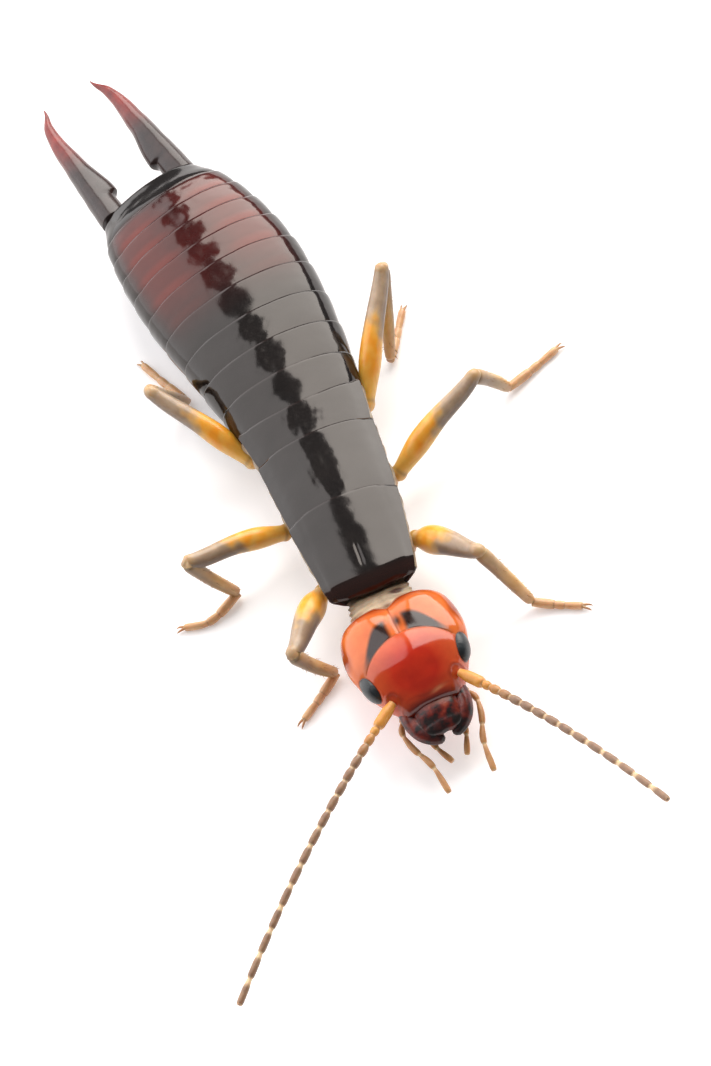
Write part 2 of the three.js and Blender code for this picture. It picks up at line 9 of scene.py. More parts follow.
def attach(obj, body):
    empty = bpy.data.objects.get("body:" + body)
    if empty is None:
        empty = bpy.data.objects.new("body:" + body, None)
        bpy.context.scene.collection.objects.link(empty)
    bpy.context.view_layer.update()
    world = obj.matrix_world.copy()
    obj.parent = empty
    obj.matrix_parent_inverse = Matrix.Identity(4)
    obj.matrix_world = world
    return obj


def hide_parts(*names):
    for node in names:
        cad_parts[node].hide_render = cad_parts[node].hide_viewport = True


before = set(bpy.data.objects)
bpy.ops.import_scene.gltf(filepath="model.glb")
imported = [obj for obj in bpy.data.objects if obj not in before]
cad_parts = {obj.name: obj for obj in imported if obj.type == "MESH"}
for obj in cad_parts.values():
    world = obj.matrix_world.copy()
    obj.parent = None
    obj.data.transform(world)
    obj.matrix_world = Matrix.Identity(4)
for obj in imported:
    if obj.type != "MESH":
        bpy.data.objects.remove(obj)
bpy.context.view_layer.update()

# Camera

camera_place = Vector((0.000163, -0.085724, 0.11526))
camera_aim = Vector((0.000163, -0.003434, 0.002))
camera_roll = math.radians(24.3)
camera_lens = 166.12
camera_sensor = 36.0


def added(name, data):
    """A new object of the scene that holds a mesh, a light or a camera."""
    made = bpy.data.objects.new(name, data)
    bpy.context.scene.collection.objects.link(made)
    return made


def add_camera():
    data = bpy.data.cameras.new("camera")
    data.lens = camera_lens
    data.sensor_width = camera_sensor
    data.clip_start = 0.005
    data.clip_end = 5.0
    camera = added("camera", data)
    aim = (camera_aim - camera_place).to_track_quat("-Z", "Y")
    camera.rotation_mode = "QUATERNION"
    camera.rotation_quaternion = aim @ Quaternion((0, 0, 1), -camera_roll)
    camera.location = camera_place
    bpy.context.scene.camera = camera


add_camera()

# Sizes in millimetres, in the body frame: +X is the insect's left, -Y is ahead, and the origin is
# on the floor under the middle of the pronotum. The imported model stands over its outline's middle.

outline_middle = np.array([-0.163, 3.434, 0.0])
metres = 0.001
turn = 2 * math.pi

# The trunk's centreline is two parabolas, both bent to the insect's right.
bend_start = 3.5
tail_bend = 0.0119
collar_bend = 0.0057

# Distance along the trunk, then half width, top and underside there.
trunk_stations = [
    (-2.4, 1.38, 2.36, 1.48),
    (0.9, 1.7, 2.6, 0.95),
    (3.4, 1.84, 2.62, 0.84),
    (4.8, 1.98, 2.68, 0.78),
    (7.0, 2.29, 2.88, 0.62),
    (10.0, 2.58, 3.035, 0.52),
    (12.2, 2.48, 3.0, 0.6),
    (13.8, 2.14, 2.78, 0.84),
    (14.75, 1.74, 2.44, 1.14),
]
thorax_rings = {"pronotum": (-2.4, 0.9), "mesonotum": (0.9, 3.4), "metanotum": (3.4, 4.8)}
thorax_nodes = {"pronotum": "prothorax", "mesonotum": "mesothorax", "metanotum": "metathorax"}
abdomen_lengths = [1.05, 1.14, 1.14, 1.14, 1.08, 0.98, 0.88, 0.82, 0.77, 0.95]
thorax_boxiness = 2.5
abdomen_boxiness = 2.3

# The head's frame starts below the notch at the back of the head, with -Y ahead.
head_origin = np.array([-0.08, -3.0, 0.0])
head_turn = math.radians(2)
head_stations = [
    (0.4, 1.3, 2.3, 1.3),
    (-0.4, 1.67, 2.6, 1.05),
    (-1.25, 1.79, 2.74, 0.92),
    (-2.05, 1.58, 2.68, 0.9),
    (-2.75, 1.2, 2.36, 0.92),
    (-3.32, 0.76, 1.98, 1.04),
]
head_boxiness = 2.35
occiput_round = 0.55
clypeus_round = 0.12

eye_place = np.array([1.37, -2.06, 1.95])
eye_size = np.array([0.27, 0.5, 0.38])
eye_toe_in = math.radians(10)

# Shapes


def between(u, span, start, end, start_slope, end_slope):
    """A smooth value from start to end as u goes from 0 to 1 over a span, with given slopes."""
    first = start * (1 + 2 * u) * (1 - u) ** 2 + start_slope * span * u * (1 - u) ** 2
    last = end * u * u * (3 - 2 * u) + end_slope * span * u * u * (u - 1)
    return first + last


def stretch_of(places, at):
    """Which stretch between neighbouring places each value of at lies in."""
    return np.clip(np.searchsorted(places, at, side="right") - 1, 0, len(places) - 2)


def smooth_through(pairs):
    """A smooth function through (place, value) pairs, level at both ends."""
    places, values = np.array(sorted(pairs), float).T
    slopes = np.zeros_like(values)
    slopes[1:-1] = (values[2:] - values[:-2]) / (places[2:] - places[:-2])

    def value_at(place):
        inside = np.clip(place, places[0], places[-1])
        i = stretch_of(places, inside)
        span = places[i + 1] - places[i]
        u = (inside - places[i]) / span
        return between(u, span, values[i], values[i + 1], slopes[i], slopes[i + 1])

    return value_at


def measures(stations):
    """A smooth function of the place in a table's first column for each of its other columns."""
    places, *columns = zip(*stations)
    return [smooth_through(zip(places, column)) for column in columns]


def ease(value, start, end):
    """0 before start, 1 after end, and smooth between them."""
    share = np.clip((value - start) / (end - start), 0, 1)
    return share * share * (3 - 2 * share)


def hill(value, middle, reach):
    return np.exp(-(((value - middle) / reach) ** 2))


def rounded(angle, boxiness):
    """A point of a rounded section. A boxiness of 2 gives an ellipse, and more gives fuller corners."""
    cosine, sine = np.cos(angle), np.sin(angle)
    power = 2 / boxiness
    return np.sign(cosine) * np.abs(cosine) ** power, np.sign(sine) * np.abs(sine) ** power


def waves(points, size, seed):
    """Smooth random relief from about -1 to 1, with swells about size millimetres long."""
    draw = np.random.default_rng(seed)
    count = 14
    total = np.zeros(points.shape[:-1])
    for _ in range(count):
        direction = draw.normal(size=3)
        direction *= turn / (size * draw.uniform(0.7, 1.5) * np.linalg.norm(direction))
        total += np.sin(points @ direction + draw.uniform(0, turn))
    return total / math.sqrt(count)


def unit(vectors):
    return vectors / np.linalg.norm(vectors, axis=-1, keepdims=True)


def turned(points, angle):
    """The same points, turned about an upright axis."""
    x, y, z = points.T
    cosine, sine = math.cos(angle), math.sin(angle)
    return np.stack([cosine * x - sine * y, sine * x + cosine * y, z], -1)


class Shape:
    """A surface: points in millimetres, faces of four corners, and named values at its points."""

    def __init__(self, points, faces, values):
        self.points = points
        self.faces = faces
        self.values = values

    def normals(self):
        a, b, c, d = (self.points[self.faces[:, i]] for i in range(4))
        facing = np.cross(c - a, d - b)
        total = np.zeros_like(self.points)
        for corner in range(4):
            for axis in range(3):
                total[:, axis] += np.bincount(
                    self.faces[:, corner], weights=facing[:, axis], minlength=len(total)
                )
        return total / np.maximum(np.linalg.norm(total, axis=1, keepdims=True), 1e-12)

    def raised(self, height):
        """The same surface, pushed out along its normals."""
        return Shape(self.points + self.normals() * height[:, None], self.faces, self.values)

    def placed(self, function):
        return Shape(function(self.points), self.faces, self.values)


def signed_volume(points, faces):
    a, b, c, d = (points[faces[:, i]] for i in range(4))
    return np.sum(a * np.cross(b, c)) + np.sum(a * np.cross(c, d))


def loft(grid, **values):
    """A surface through rings of points, grid[row, around], with both ends closed flat.

    It has a known fault: where the faces have to be turned over, the closing ones name one corner
    twice. They show, but they aren't valid faces, and an exported mesh is left open at its ends.
    """
    rows, around, _ = grid.shape
    here = np.arange(around)
    beside = (here + 1) % around
    first = np.arange(rows - 1)[:, None] * around
    quads = [first + here, first + beside, first + around + beside, first + around + here]
    faces = [np.stack(quads, -1).reshape(-1, 4)]
    last = (rows - 1) * around
    front_end, rear_end = rows * around, rows * around + 1
    faces.append(np.stack([here * 0 + front_end, beside, here, here], -1))
    faces.append(np.stack([here * 0 + rear_end, last + here, last + beside, last + beside], -1))
    faces = np.concatenate(faces)
    points = np.concatenate([grid.reshape(-1, 3), [grid[0].mean(0)], [grid[-1].mean(0)]])
    if signed_volume(points, faces) < 0:
        flipped = faces[:, ::-1]
        closing = flipped[:, 0] == flipped[:, 1]
        flipped[closing] = np.roll(flipped[closing], -1, axis=1)
        faces = flipped
    full = {}
    for name, value in values.items():
        value = np.broadcast_to(value, (rows, around))
        full[name] = np.concatenate([value.ravel(), [value[0].mean()], [value[-1].mean()]])
    return Shape(points, faces, full)


def joined(shapes):
    """Several surfaces as one. A value that one of them lacks is 0 there."""
    names = sorted({name for shape in shapes for name in shape.values})
    starts = np.cumsum([0] + [len(shape.points) for shape in shapes])
    faces = [shape.faces + start for shape, start in zip(shapes, starts)]
    values = {}
    for name in names:
        parts = [shape.values.get(name, np.zeros(len(shape.points))) for shape in shapes]
        values[name] = np.concatenate(parts)
    return Shape(np.concatenate([shape.points for shape in shapes]), np.concatenate(faces), values)


class Path:
    """A smooth line through space, measured along its length from 0 to 1."""

    def __init__(self, points):
        self.points = points
        steps = np.linalg.norm(np.diff(points, axis=0), axis=1)
        self.length = steps.sum()
        self.shares = np.concatenate([[0], steps.cumsum()]) / self.length

    def point(self, share):
        return np.stack([np.interp(share, self.shares, axis) for axis in self.points.T], -1)

    def directions(self, share):
        """Along, level across and upright across."""
        step = 0.01
        along = unit(self.point(np.minimum(share + step, 1)) - self.point(np.maximum(share - step, 0)))
        across = unit(np.cross(along, [0, 0, 1]))
        return along, across, np.cross(across, along)


path_points = 401


def bow(start, bend, end):
    """A path from start to end, drawn towards the bend between them."""
    u = np.linspace(0, 1, path_points)[:, None]
    return Path(np.array(start) * (1 - u) ** 2 + np.array(bend) * 2 * u * (1 - u) + np.array(end) * u**2)


def through(points):
    """A smooth path through a few points."""
    points = np.array(points, float)
    steps = np.linalg.norm(np.diff(points, axis=0), axis=1)
    places = np.concatenate([[0], steps.cumsum()])
    slopes = np.gradient(points, places, axis=0)
    at = np.linspace(0, places[-1], path_points)
    i = stretch_of(places, at)
    span = (places[i + 1] - places[i])[:, None]
    u = (at - places[i])[:, None] / span
    return Path(between(u, span, points[i], points[i + 1], slopes[i], slopes[i + 1]))


def ring_angles(sides):
    return np.linspace(0, turn, sides, endpoint=False)


def rod(path, shares, radius, sides=24, flatness=1.0, **values):
    """A round rod along a path. shares are its rows, and radius and values hold one number a row."""
    angle = ring_angles(sides)
    _, across, above = path.directions(shares)
    radius = np.asarray(radius)[:, None]
    sideways = (flatness * radius * np.cos(angle))[..., None] * across[:, None]
    upright = (radius * np.sin(angle))[..., None] * above[:, None]
    rows = {name: np.broadcast_to(np.asarray(v)[..., None], radius.shape) for name, v in values.items()}
    return loft(path.point(shares)[:, None] + sideways + upright, **rows)


def along_and_top(shares, sides):
    """For each point of a rod: its share of the length, and 1 on its upper ridge to 0 below."""
    along = np.append(np.repeat(shares, sides), [shares[0], shares[-1]])
    angle = np.append(np.tile(ring_angles(sides), len(shares)), [0, 0])
    return along, 0.5 + 0.5 * np.sin(angle)


def end_rows(count):
    """Places and sizes of the rows that round off an end: from 0, where it is a point, to 1."""
    angle = np.linspace(0.08, math.pi / 2, count)
    return 1 - np.cos(angle), np.sin(angle)


def round_ends(count, start, end, end_count=9):
    """Rows of a form with round ends, as shares of its length and of its thickness."""
    inset, size = end_rows(end_count)
    middle = np.linspace(start, 1 - end, count)[1:-1]
    shares = np.concatenate([start * inset, middle, (1 - end * inset)[::-1]])
    return shares, np.concatenate([size, np.ones(len(middle)), size[::-1]])


# Finishes


def colour(code):
    """A colour written as it looks on screen, such as d2622a, as linear values."""
    parts = [int(code[i : i + 2], 16) / 255 for i in (0, 2, 4)]
    linear = [p / 12.92 if p <= 0.04045 else ((p + 0.055) / 1.055) ** 2.4 for p in parts]
    return (*linear, 1.0)


# Sockets of a mix node that mixes colours.
mix_share, mix_first, mix_second, mix_result = 0, 6, 7, 2


class Finish:
    """A material and short ways to add its nodes."""

    def __init__(self, name):
        self.material = bpy.data.materials.new(name)
        self.material.use_nodes = True
        self.tree = self.material.node_tree
        self.shader = self.tree.nodes["Principled BSDF"]
        place = self.tree.nodes.new("ShaderNodeTexCoord")
        self.place = place.outputs["Object"]

    def put(self, socket, value):
        if isinstance(value, bpy.types.NodeSocket):
            self.tree.links.new(value, socket)
        else:
            socket.default_value = value

    def set(self, **inputs):
        for name, value in inputs.items():
            self.put(self.shader.inputs[name.replace("_", " ")], value)

    def value(self, name):
        """The value of that name which a piece holds at its points."""
        made = self.tree.nodes.new("ShaderNodeAttribute")
        made.attribute_name = name
        return made.outputs["Fac"]

    def noise(self, size, detail=3.0):
        """Noise with features about size millimetres across."""
        made = self.tree.nodes.new("ShaderNodeTexNoise")
        made.inputs["Scale"].default_value = 1 / (size * metres)
        made.inputs["Detail"].default_value = detail
        self.put(made.inputs["Vector"], self.place)
        return made.outputs["Fac"]

    def cells(self, size):
        """Distance from the middle of the nearest of many cells, about size millimetres across."""
        made = self.tree.nodes.new("ShaderNodeTexVoronoi")
        made.inputs["Scale"].default_value = 1 / (size * metres)
        self.put(made.inputs["Vector"], self.place)
        return made.outputs["Distance"]

    def sum(self, a, b):
        made = self.tree.nodes.new("ShaderNodeMath")
        made.operation = "ADD"
        self.put(made.inputs[0], a)
        self.put(made.inputs[1], b)
        return made.outputs[0]

    def span(self, value, low, high, to_low=0.0, to_high=1.0):
        made = self.tree.nodes.new("ShaderNodeMapRange")
        self.put(made.inputs["Value"], value)
        limits = {"From Min": low, "From Max": high, "To Min": to_low, "To Max": to_high}
        for name, limit in limits.items():
            made.inputs[name].default_value = limit
        return made.outputs["Result"]

    def blend(self, share, a, b):
        made = self.tree.nodes.new("ShaderNodeMix")
        made.data_type = "RGBA"
        self.put(made.inputs[mix_share], share)
        self.put(made.inputs[mix_first], a)
        self.put(made.inputs[mix_second], b)
        return made.outputs[mix_result]

    def layers(self, skin, **tones):
        """A colour with others laid over it, each by the piece's value of the same name."""
        for name, tone in tones.items():
            skin = self.blend(self.value(name), skin, tone)
        return skin

    def ramp(self, value, stops):
        """Colours along a value: stops are (place, colour code)."""
        made = self.tree.nodes.new("ShaderNodeValToRGB")
        elements = made.color_ramp.elements
        while len(elements) < len(stops):
            elements.new(0.5)
        for element, (place, code) in zip(elements, stops):
            element.position = place
            element.color = colour(code)
        self.put(made.inputs["Fac"], value)
        return made.outputs["Color"]

    def mottled(self, noise, dark, light):
        return self.ramp(noise, [(0.3, dark), (0.7, light)])

    def bump(self, *layers):
        """Relief from (height, depth in millimetres) layers, laid one on another."""
        normal = None
        for height, depth in layers:
            made = self.tree.nodes.new("ShaderNodeBump")
            made.inputs["Strength"].default_value = 1.0
            made.inputs["Distance"].default_value = depth * metres
            self.put(made.inputs["Height"], height)
            if normal is not None:
                self.put(made.inputs["Normal"], normal)
            normal = made.outputs["Normal"]
        self.put(self.shader.inputs["Normal"], normal)


def cuticle_black():
    """Glossy black plates, dark red where the hind body lets light through, and softer sides."""
    finish = Finish("black_cuticle")
    mottle = finish.noise(0.6, 4.0)
    fine = finish.noise(0.09, 3.0)
    soft_stops = [(0.25, "5f5146"), (0.5, "8c7c69"), (0.75, "b3a48a")]
    skin = finish.layers(
        finish.mottled(mottle, "110e0e", "1a1615"),
        red=finish.layers(finish.mottled(mottle, "300909", "3e0e0c"), glow=colour("6c2018")),
        edge=colour("2b1814"),
        under=finish.mottled(mottle, "2c1a15", "4a2e22"),
        side=finish.ramp(finish.noise(0.3, 4.0), soft_stops),
    )
    shine = finish.span(fine, 0.3, 0.7, 0.09, 0.12)
    softness = finish.span(finish.value("side"), 0, 1, 0, 0.35)
    warm_gloss = (1.0, 0.93, 0.88, 1)
    finish.set(Base_Color=skin, Roughness=finish.sum(shine, softness), IOR=1.5, Specular_Tint=warm_gloss)
    pits = finish.span(finish.cells(0.11), 0.0, 0.28)
    finish.bump((pits, 0.0004), (fine, 0.0004))
    return finish.material


def head_cuticle():
    """Orange head with a red face, smoky blotches behind its seam, a dark mouth edge, painted shade at its
    rims and round the eyes, and a painted highlight on the brow.
    """
    finish = Finish("head_cuticle")
    mottle = finish.noise(0.45, 4.0)
    skin = finish.layers(
        finish.mottled(mottle, "cc6026", "da7030"),
        # rim: painted shade where the head rolls away at its back and sides
        rim=finish.mottled(mottle, "8c340f", "9c3c14"),
        face=finish.mottled(mottle, "c4562a", "d06430"),
        core=finish.mottled(mottle, "ac220e", "bc2c12"),
        smoke=colour("120908"),
        mouth=colour("4a0e0a"),
        # seam: darker along the seam and crown grooves, and painted shade in the groove round each eye
        seam=colour("5a160a"),
        # pale: a painted highlight line along the brow
        pale=colour("d89868"),
    )
    fine = finish.noise(0.07, 3.0)
    finish.set(
        Base_Color=skin,
        Roughness=finish.span(fine, 0.3, 0.7, 0.1, 0.14),
        Subsurface_Weight=0.2,
        Subsurface_Radius=(1.0, 0.35, 0.15),
        Subsurface_Scale=0.0002,
        IOR=1.5,
    )
    finish.bump((finish.noise(0.4, 2.0), 0.003), (fine, 0.0005))
    return finish.material


def mouth_brown():
    """Mottled dark red jaws and lip, blackish towards their tips, with a painted highlight near the lip's
    root.
    """
    finish = Finish("mouthparts")
    stops = [(0.38, "140706"), (0.5, "56120c"), (0.62, "74200f"), (0.72, "8c3a24")]
    mottle = finish.ramp(finish.noise(0.25, 4.0), stops)
    # pale: a painted highlight near the lip's root
    skin = finish.layers(mottle, tip=colour("120908"), pale=colour("b06a44"))
    finish.set(Base_Color=skin, Roughness=0.34, IOR=1.45)
    finish.bump((finish.noise(0.15, 3.0), 0.012))
    return finish.material


def eye_black():
    finish = Finish("compound_eyes")
    tone = finish.mottled(finish.noise(0.2, 3.0), "101416", "1b2226")
    finish.set(Base_Color=tone, Roughness=0.3, Sheen_Weight=0.15, IOR=1.5)
    finish.bump((finish.cells(0.03), 0.002))
    return finish.material


def neck_cream():
    finish = Finish("neck_membrane")
    cream = finish.ramp(finish.noise(0.4, 3.0), [(0.25, "8a7058"), (0.5, "b09a7c"), (0.75, "c4b090")])
    # plate: the small dark side plates, and painted shade where the neck runs under the pronotum
    skin = finish.layers(cream, plate=colour("3a1e12"))
    finish.set(Base_Color=skin, Roughness=0.5, Subsurface_Weight=0.3, Subsurface_Scale=0.0003)
    finish.bump((finish.noise(0.08, 3.0), 0.006))
    return finish.material


def leg_ochre():
    """Translucent yellow legs: an orange streak along the thighs, a taupe band before each knee, and
    painted shade on the undersides of thighs and shins.
    """
    finish = Finish("legs")
    mottle = finish.noise(0.35, 4.0)
    skin = finish.layers(
        finish.mottled(mottle, "e2ae48", "ecbe60"),
        amber=finish.mottled(mottle, "e6921a", "eea42c"),
        pale=finish.mottled(mottle, "c49264", "d8b084"),
        band=finish.mottled(mottle, "9c846c", "b89e84"),
        # dark: dark joints and claws, and painted shade on the undersides of the thighs and shins
        dark=colour("4a3626"),
    )
    finish.set(
        Base_Color=skin,
        Roughness=0.28,
        Subsurface_Weight=0.4,
        Subsurface_Radius=(1.0, 0.5, 0.2),
        Subsurface_Scale=0.00025,
        IOR=1.5,
    )
    finish.bump((finish.noise(0.2, 3.0), 0.004), (finish.noise(0.05, 2.0), 0.0008))
    return finish.material


def feeler_brown():
    """Brown beads with pale joints, and yellower ones at the root."""
    finish = Finish("feelers")
    mottle = finish.noise(0.2, 4.0)
    bead = finish.mottled(mottle, "7c5c46", "967458")
    stem = finish.mottled(mottle, "cc8630", "da9a48")
    skin = finish.layers(bead, stem=stem, joint=colour("dcbc92"))
    finish.set(Base_Color=skin, Roughness=0.4, Subsurface_Weight=0.2, Subsurface_Scale=0.0001)
    finish.bump((finish.noise(0.05, 3.0), 0.003))
    return finish.material


def palp_tan():
    finish = Finish("palps")
    tan = finish.mottled(finish.noise(0.2, 4.0), "a87442", "c08c58")
    skin = finish.layers(tan, joint=colour("d8b88c"))
    finish.set(Base_Color=skin, Roughness=0.4, Subsurface_Weight=0.2, Subsurface_Scale=0.0001)
    finish.bump((finish.noise(0.06, 3.0), 0.003))
    return finish.material


def forceps_red():
    """Dark brown arms that turn red towards their tips."""
    finish = Finish("forceps")
    mottle = finish.noise(0.3, 4.0)
    dark = finish.mottled(mottle, "281a17", "382622")
    skin = finish.layers(dark, red=finish.mottled(mottle, "6c150d", "8a2619"))
    finish.set(Base_Color=skin, Roughness=0.24, IOR=1.5)
    finish.bump((finish.noise(0.25, 3.0), 0.004), (finish.noise(0.06, 2.0), 0.001))
    return finish.material


def bristle_brown():
    finish = Finish("bristles")
    finish.set(Base_Color=finish.mottled(finish.noise(0.3), "7a5026", "b98a4a"), Roughness=0.4)
    return finish.material


finishes = {
    "black": (cuticle_black(), "body_cuticle"),
    "head": (head_cuticle(), "head_cuticle"),
    "mouth": (mouth_brown(), "mouthparts"),
    "eye": (eye_black(), "eyes"),
    "neck": (neck_cream(), "membrane"),
    "leg": (leg_ochre(), "legs"),
    "feeler": (feeler_brown(), "antennae"),
    "palp": (palp_tan(), "palps"),
    "forceps": (forceps_red(), "forceps"),
    "bristle": (bristle_brown(), "legs"),
}


def add_piece(name, shape, finish, *nodes):
    """Makes a shape a piece of the model, in place of the solids that it stands for."""
    mesh = bpy.data.meshes.new(name)
    corners = [face[:3] if face[2] == face[3] else face for face in shape.faces.tolist()]
    mesh.from_pydata(((shape.points - outline_middle) * metres).tolist(), [], corners)
    mesh.shade_smooth()
    for value_name, values in shape.values.items():
        attribute = mesh.attributes.new(value_name, "FLOAT", "POINT")
        attribute.data.foreach_set("value", values.astype(np.float32))
    material, slot = finishes[finish]
    mesh.materials.append(material)
    piece = added(name, mesh)
    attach(piece, "root")
    if nodes:
        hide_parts(*nodes)


# Trunk

trunk_half_width, trunk_top, trunk_underside = measures(trunk_stations)


def trunk_bend(y):
    return np.where(y > bend_start, tail_bend, collar_bend)


def on_trunk(y, angle, size, boxiness):
    """Points of the trunk's section at distance y along it."""
    sideways, upright = rounded(angle, boxiness)
    heading = np.arctan(2 * trunk_bend(y) * (y - bend_start))
    sideways = sideways * trunk_half_width(y) * size
    upright = upright * size * (trunk_top(y) - trunk_underside(y)) / 2
    x = -trunk_bend(y) * (y - bend_start) ** 2 + np.cos(heading) * sideways
    height = (trunk_top(y) + trunk_underside(y)) / 2 + upright
    return np.stack([x, y + np.sin(heading) * sideways, height], -1)


# Where a plate's side edge hangs over the softer side wall, as an angle below level.
thorax_edge = math.radians(-10)
abdomen_edge = math.radians(14)
edge_step = math.radians(1.5)
flare_from = 0.83
flare_slope = 0.7


def angles_round(edge):
    """Angles round a section, close together where the plate's side edges are."""
    steps = edge + edge_step * np.array([0.3, 0.7, 1.0])
    upper = np.linspace(-edge, math.pi + edge, 190)
    lower = np.linspace(edge + 2 * edge_step, math.pi - edge - 2 * edge_step, 60)
    return np.concatenate([upper, math.pi + steps, math.pi + lower, turn - steps[::-1]])[None, :]


middle_reach = smooth_through(
    [(-2.4, 0.0), (0.9, 0.12), (3.4, 0.06), (4.8, -0.16), (5.9, 0.03), (15, 0.02)]
)
corner_reach = smooth_through(
    [(-2.4, 0.0), (4.8, 0.05), (9.0, 0.06), (12.5, 0.14), (13.8, 0.06), (15.0, 0.0)]
)


def margin_bow(y, angle):
    """How far back the plates' hind edges reach, in the middle and at their hind corners."""
    aside = np.abs(np.cos(angle))
    above = ease(np.sin(angle), -0.3, 0.05)
    return middle_reach(y) * (1 - aside**2) * above + corner_reach(y) * ease(aside, 0.8, 1.0) * above


# Each plate's front end is tucked this far under the plate ahead.
tuck = 0.2


def ring_rows(front, rear):
    """Rows of a plate: tucked under the one ahead, swelling back to a thin lip that folds in."""
    length = rear - front
    shares = np.array([-tuck / length, -0.5 * tuck / length, 0, 0.06, 0.2, 0.45, 0.8, 1 - 0.1 / length])
    sizes = np.array([0.945, 0.956, 0.968, 0.976, 0.987, 0.995, 1.0, 1.0])
    swell = smooth_through(list(zip(shares, sizes)))
    even = np.linspace(shares[0], shares[-1], 34)
    lip_y = rear + np.array([-0.085, -0.06, -0.035, -0.015, -0.004, 0.0, -0.012, -0.06, -0.16])
    lip_size = np.array([0.9995, 0.996, 0.989, 0.982, 0.978, 0.974, 0.971, 0.964, 0.945])
    y = np.concatenate([front + even * length, lip_y])
    return y, np.concatenate([swell(even), lip_size]), np.zeros(len(y))


# The pronotum's front rim: distance behind its front, size of the section there and drop of its top.
collar_rim = [
    (0.8, 0.5, 0.36),
    (0.6, 0.62, 0.36),
    (0.42, 0.72, 0.36),
    (0.33, 0.8, 0.36),
    (0.3, 0.86, 0.36),
    (0.3, 0.89, 0.35),
    (0.32, 0.915, 0.32),
    (0.35, 0.932, 0.28),
    (0.39, 0.946, 0.23),
    (0.44, 0.958, 0.175),
    (0.5, 0.967, 0.125),
    (0.57, 0.975, 0.08),
    (0.64, 0.981, 0.045),
    (0.71, 0.987, 0.02),
    (0.78, 0.99, 0.007),
    (0.86, 0.993, 0.001),
]


def collar_rows(front, rear):
    """The pronotum's rows: its front rim rolls down steeply and folds in over the neck."""
    y, size, drop = ring_rows(front, rear)
    keep = y > front + 0.9
    rim_y, rim_size, rim_drop = np.array(collar_rim).T
    y = np.concatenate([front + rim_y, y[keep]])
    return y, np.concatenate([rim_size, size[keep]]), np.concatenate([rim_drop, drop[keep]])


def tail_rows(front, rear):
    """The last plate's rows: its hind edge rolls down and in round the roots of the forceps."""
    y, size, _ = ring_rows(front, rear)
    keep = y < rear - 0.34
    edge_y = rear - np.array([0.3, 0.24, 0.18, 0.13, 0.09, 0.055, 0.03, 0.01, 0, 0.01, 0.05, 0.12])
    edge_size = np.array([0.999, 0.996, 0.99, 0.98, 0.967, 0.95, 0.93, 0.9, 0.86, 0.81, 0.75, 0.68])
    y = np.concatenate([y[keep], edge_y])
    return y, np.concatenate([size[keep], edge_size]), np.zeros(len(y))


def flare(y, angle, size):
    """How far the thorax plates' side margins stand above the rounded section, to end nearly flat."""
    sideways, upright = rounded(angle, thorax_boxiness)
    beyond = np.maximum(np.abs(sideways) - flare_from, 0)
    half_height = (trunk_top(y) - trunk_underside(y)) / 2 * size
    level = (1 - flare_from**thorax_boxiness) ** (1 / thorax_boxiness)
    flat = level * half_height - beyond * trunk_half_width(y) * size * flare_slope
    return np.where((beyond > 0) & (upright > 0), flat - upright * half_height, 0)


def ring_grid(name, rows, angle, under):
    """Points of one ring of the trunk, its plate hanging over its side walls."""
    thorax = name in thorax_rings
    y, size, drop = (row[:, None] for row in rows)
    depth = -np.sin(angle)
    wall = under * (1 - 0.6 * ease(depth, 0.3, 0.9))
    inset = 0.045 * wall * (1 - hill(depth, 0.12, 0.25)) if thorax else 0.03 * wall
    reach = y + margin_bow(y, angle)
    if name == "pronotum":
        reach = reach + 0.22 * np.cos(angle) ** 2 * (1 - ease(y, y.min() + 0.1, y.min() + 0.9))
    boxiness = thorax_boxiness if thorax else abdomen_boxiness
    grid = on_trunk(reach, angle, size * (1 - inset), boxiness)
    grid[..., 2] -= drop * np.maximum(np.sin(angle), 0) ** 0.5
    if thorax:
        grid[..., 2] += flare(reach, angle, size) * (1 - under)
    return grid


def ring_relief(name, points, share):
    """The dents and folds of a ring's plate, as heights over its smooth form."""
    x, y, z = points.T
    aside = x + trunk_bend(y) * (y - bend_start) ** 2
    upper = ease(z, 1.9, 2.3)
    ends = np.clip(np.abs(2 * share - 1), 0, 1) ** 2
    keel = (0.024 * ends - 0.012 * (1 - ends)) * hill(aside, 0, 0.55) * upper
    if name == "pronotum":
        keel = 0.6 * keel * ease(y, -1.2, -0.2)
        groove = 0.009 * hill(aside, -0.03, 0.06) * ease(y, -1.5, -1.3) * (1 - ease(y, -0.75, -0.55))
        flange = 0.012 * hill(np.abs(aside), 1.28, 0.12) * ease(y, -2.1, -1.6)
        return keel - (groove + flange) * upper
    return 0.5 * keel if name == "segment_10" else keel


special_rows = {"pronotum": collar_rows, "segment_10": tail_rows}


def ring_shape(name, front, rear, number):
    thorax = name in thorax_rings
    rows = special_rows.get(name, ring_rows)(front, rear)
    edge = thorax_edge if thorax else abdomen_edge
    angle = angles_round(edge)
    depth = -np.sin(angle)
    under = ease(depth, math.sin(edge), math.sin(edge + edge_step))
    y = rows[0][:, None]
    aside = np.abs(np.cos(angle))
    share = (y - front) / (rear - front)
    lip = ease(y, rear - 0.07, rear - 0.02) * 0.4
    rim = (1 - ease(y, front + 0.5, front + 0.85)) * (name == "pronotum")
    rim = np.maximum(rim, hill(depth, math.sin(edge), 0.03) * thorax)
    shape = loft(
        ring_grid(name, rows, angle, under),
        under=under * (not thorax),
        side=under * thorax * (y > thorax_rings["pronotum"][0] + 0.4),
        red=ease(y, 8.2, 11.0) * (1 - ease(y, 13.5, 13.9)) * (1 - ease(aside, 0.7, 0.95)),
        glow=(1 - hill(aside, 0, 0.28)) * (0.4 + 0.6 * (1 - ease(share, 0.1, 0.4))),
        edge=np.maximum(lip, rim),
        share=share,
    )
    height = 0.004 * waves(shape.points, 0.9, number) + 0.0012 * waves(shape.points, 0.3, number)
    height += ring_relief(name, shape.points, shape.values.pop("share"))
    height += 0.03 * shape.values["side"] * (waves(shape.points, 0.5, 60 + number) - 0.5)
    return shape.raised(height)


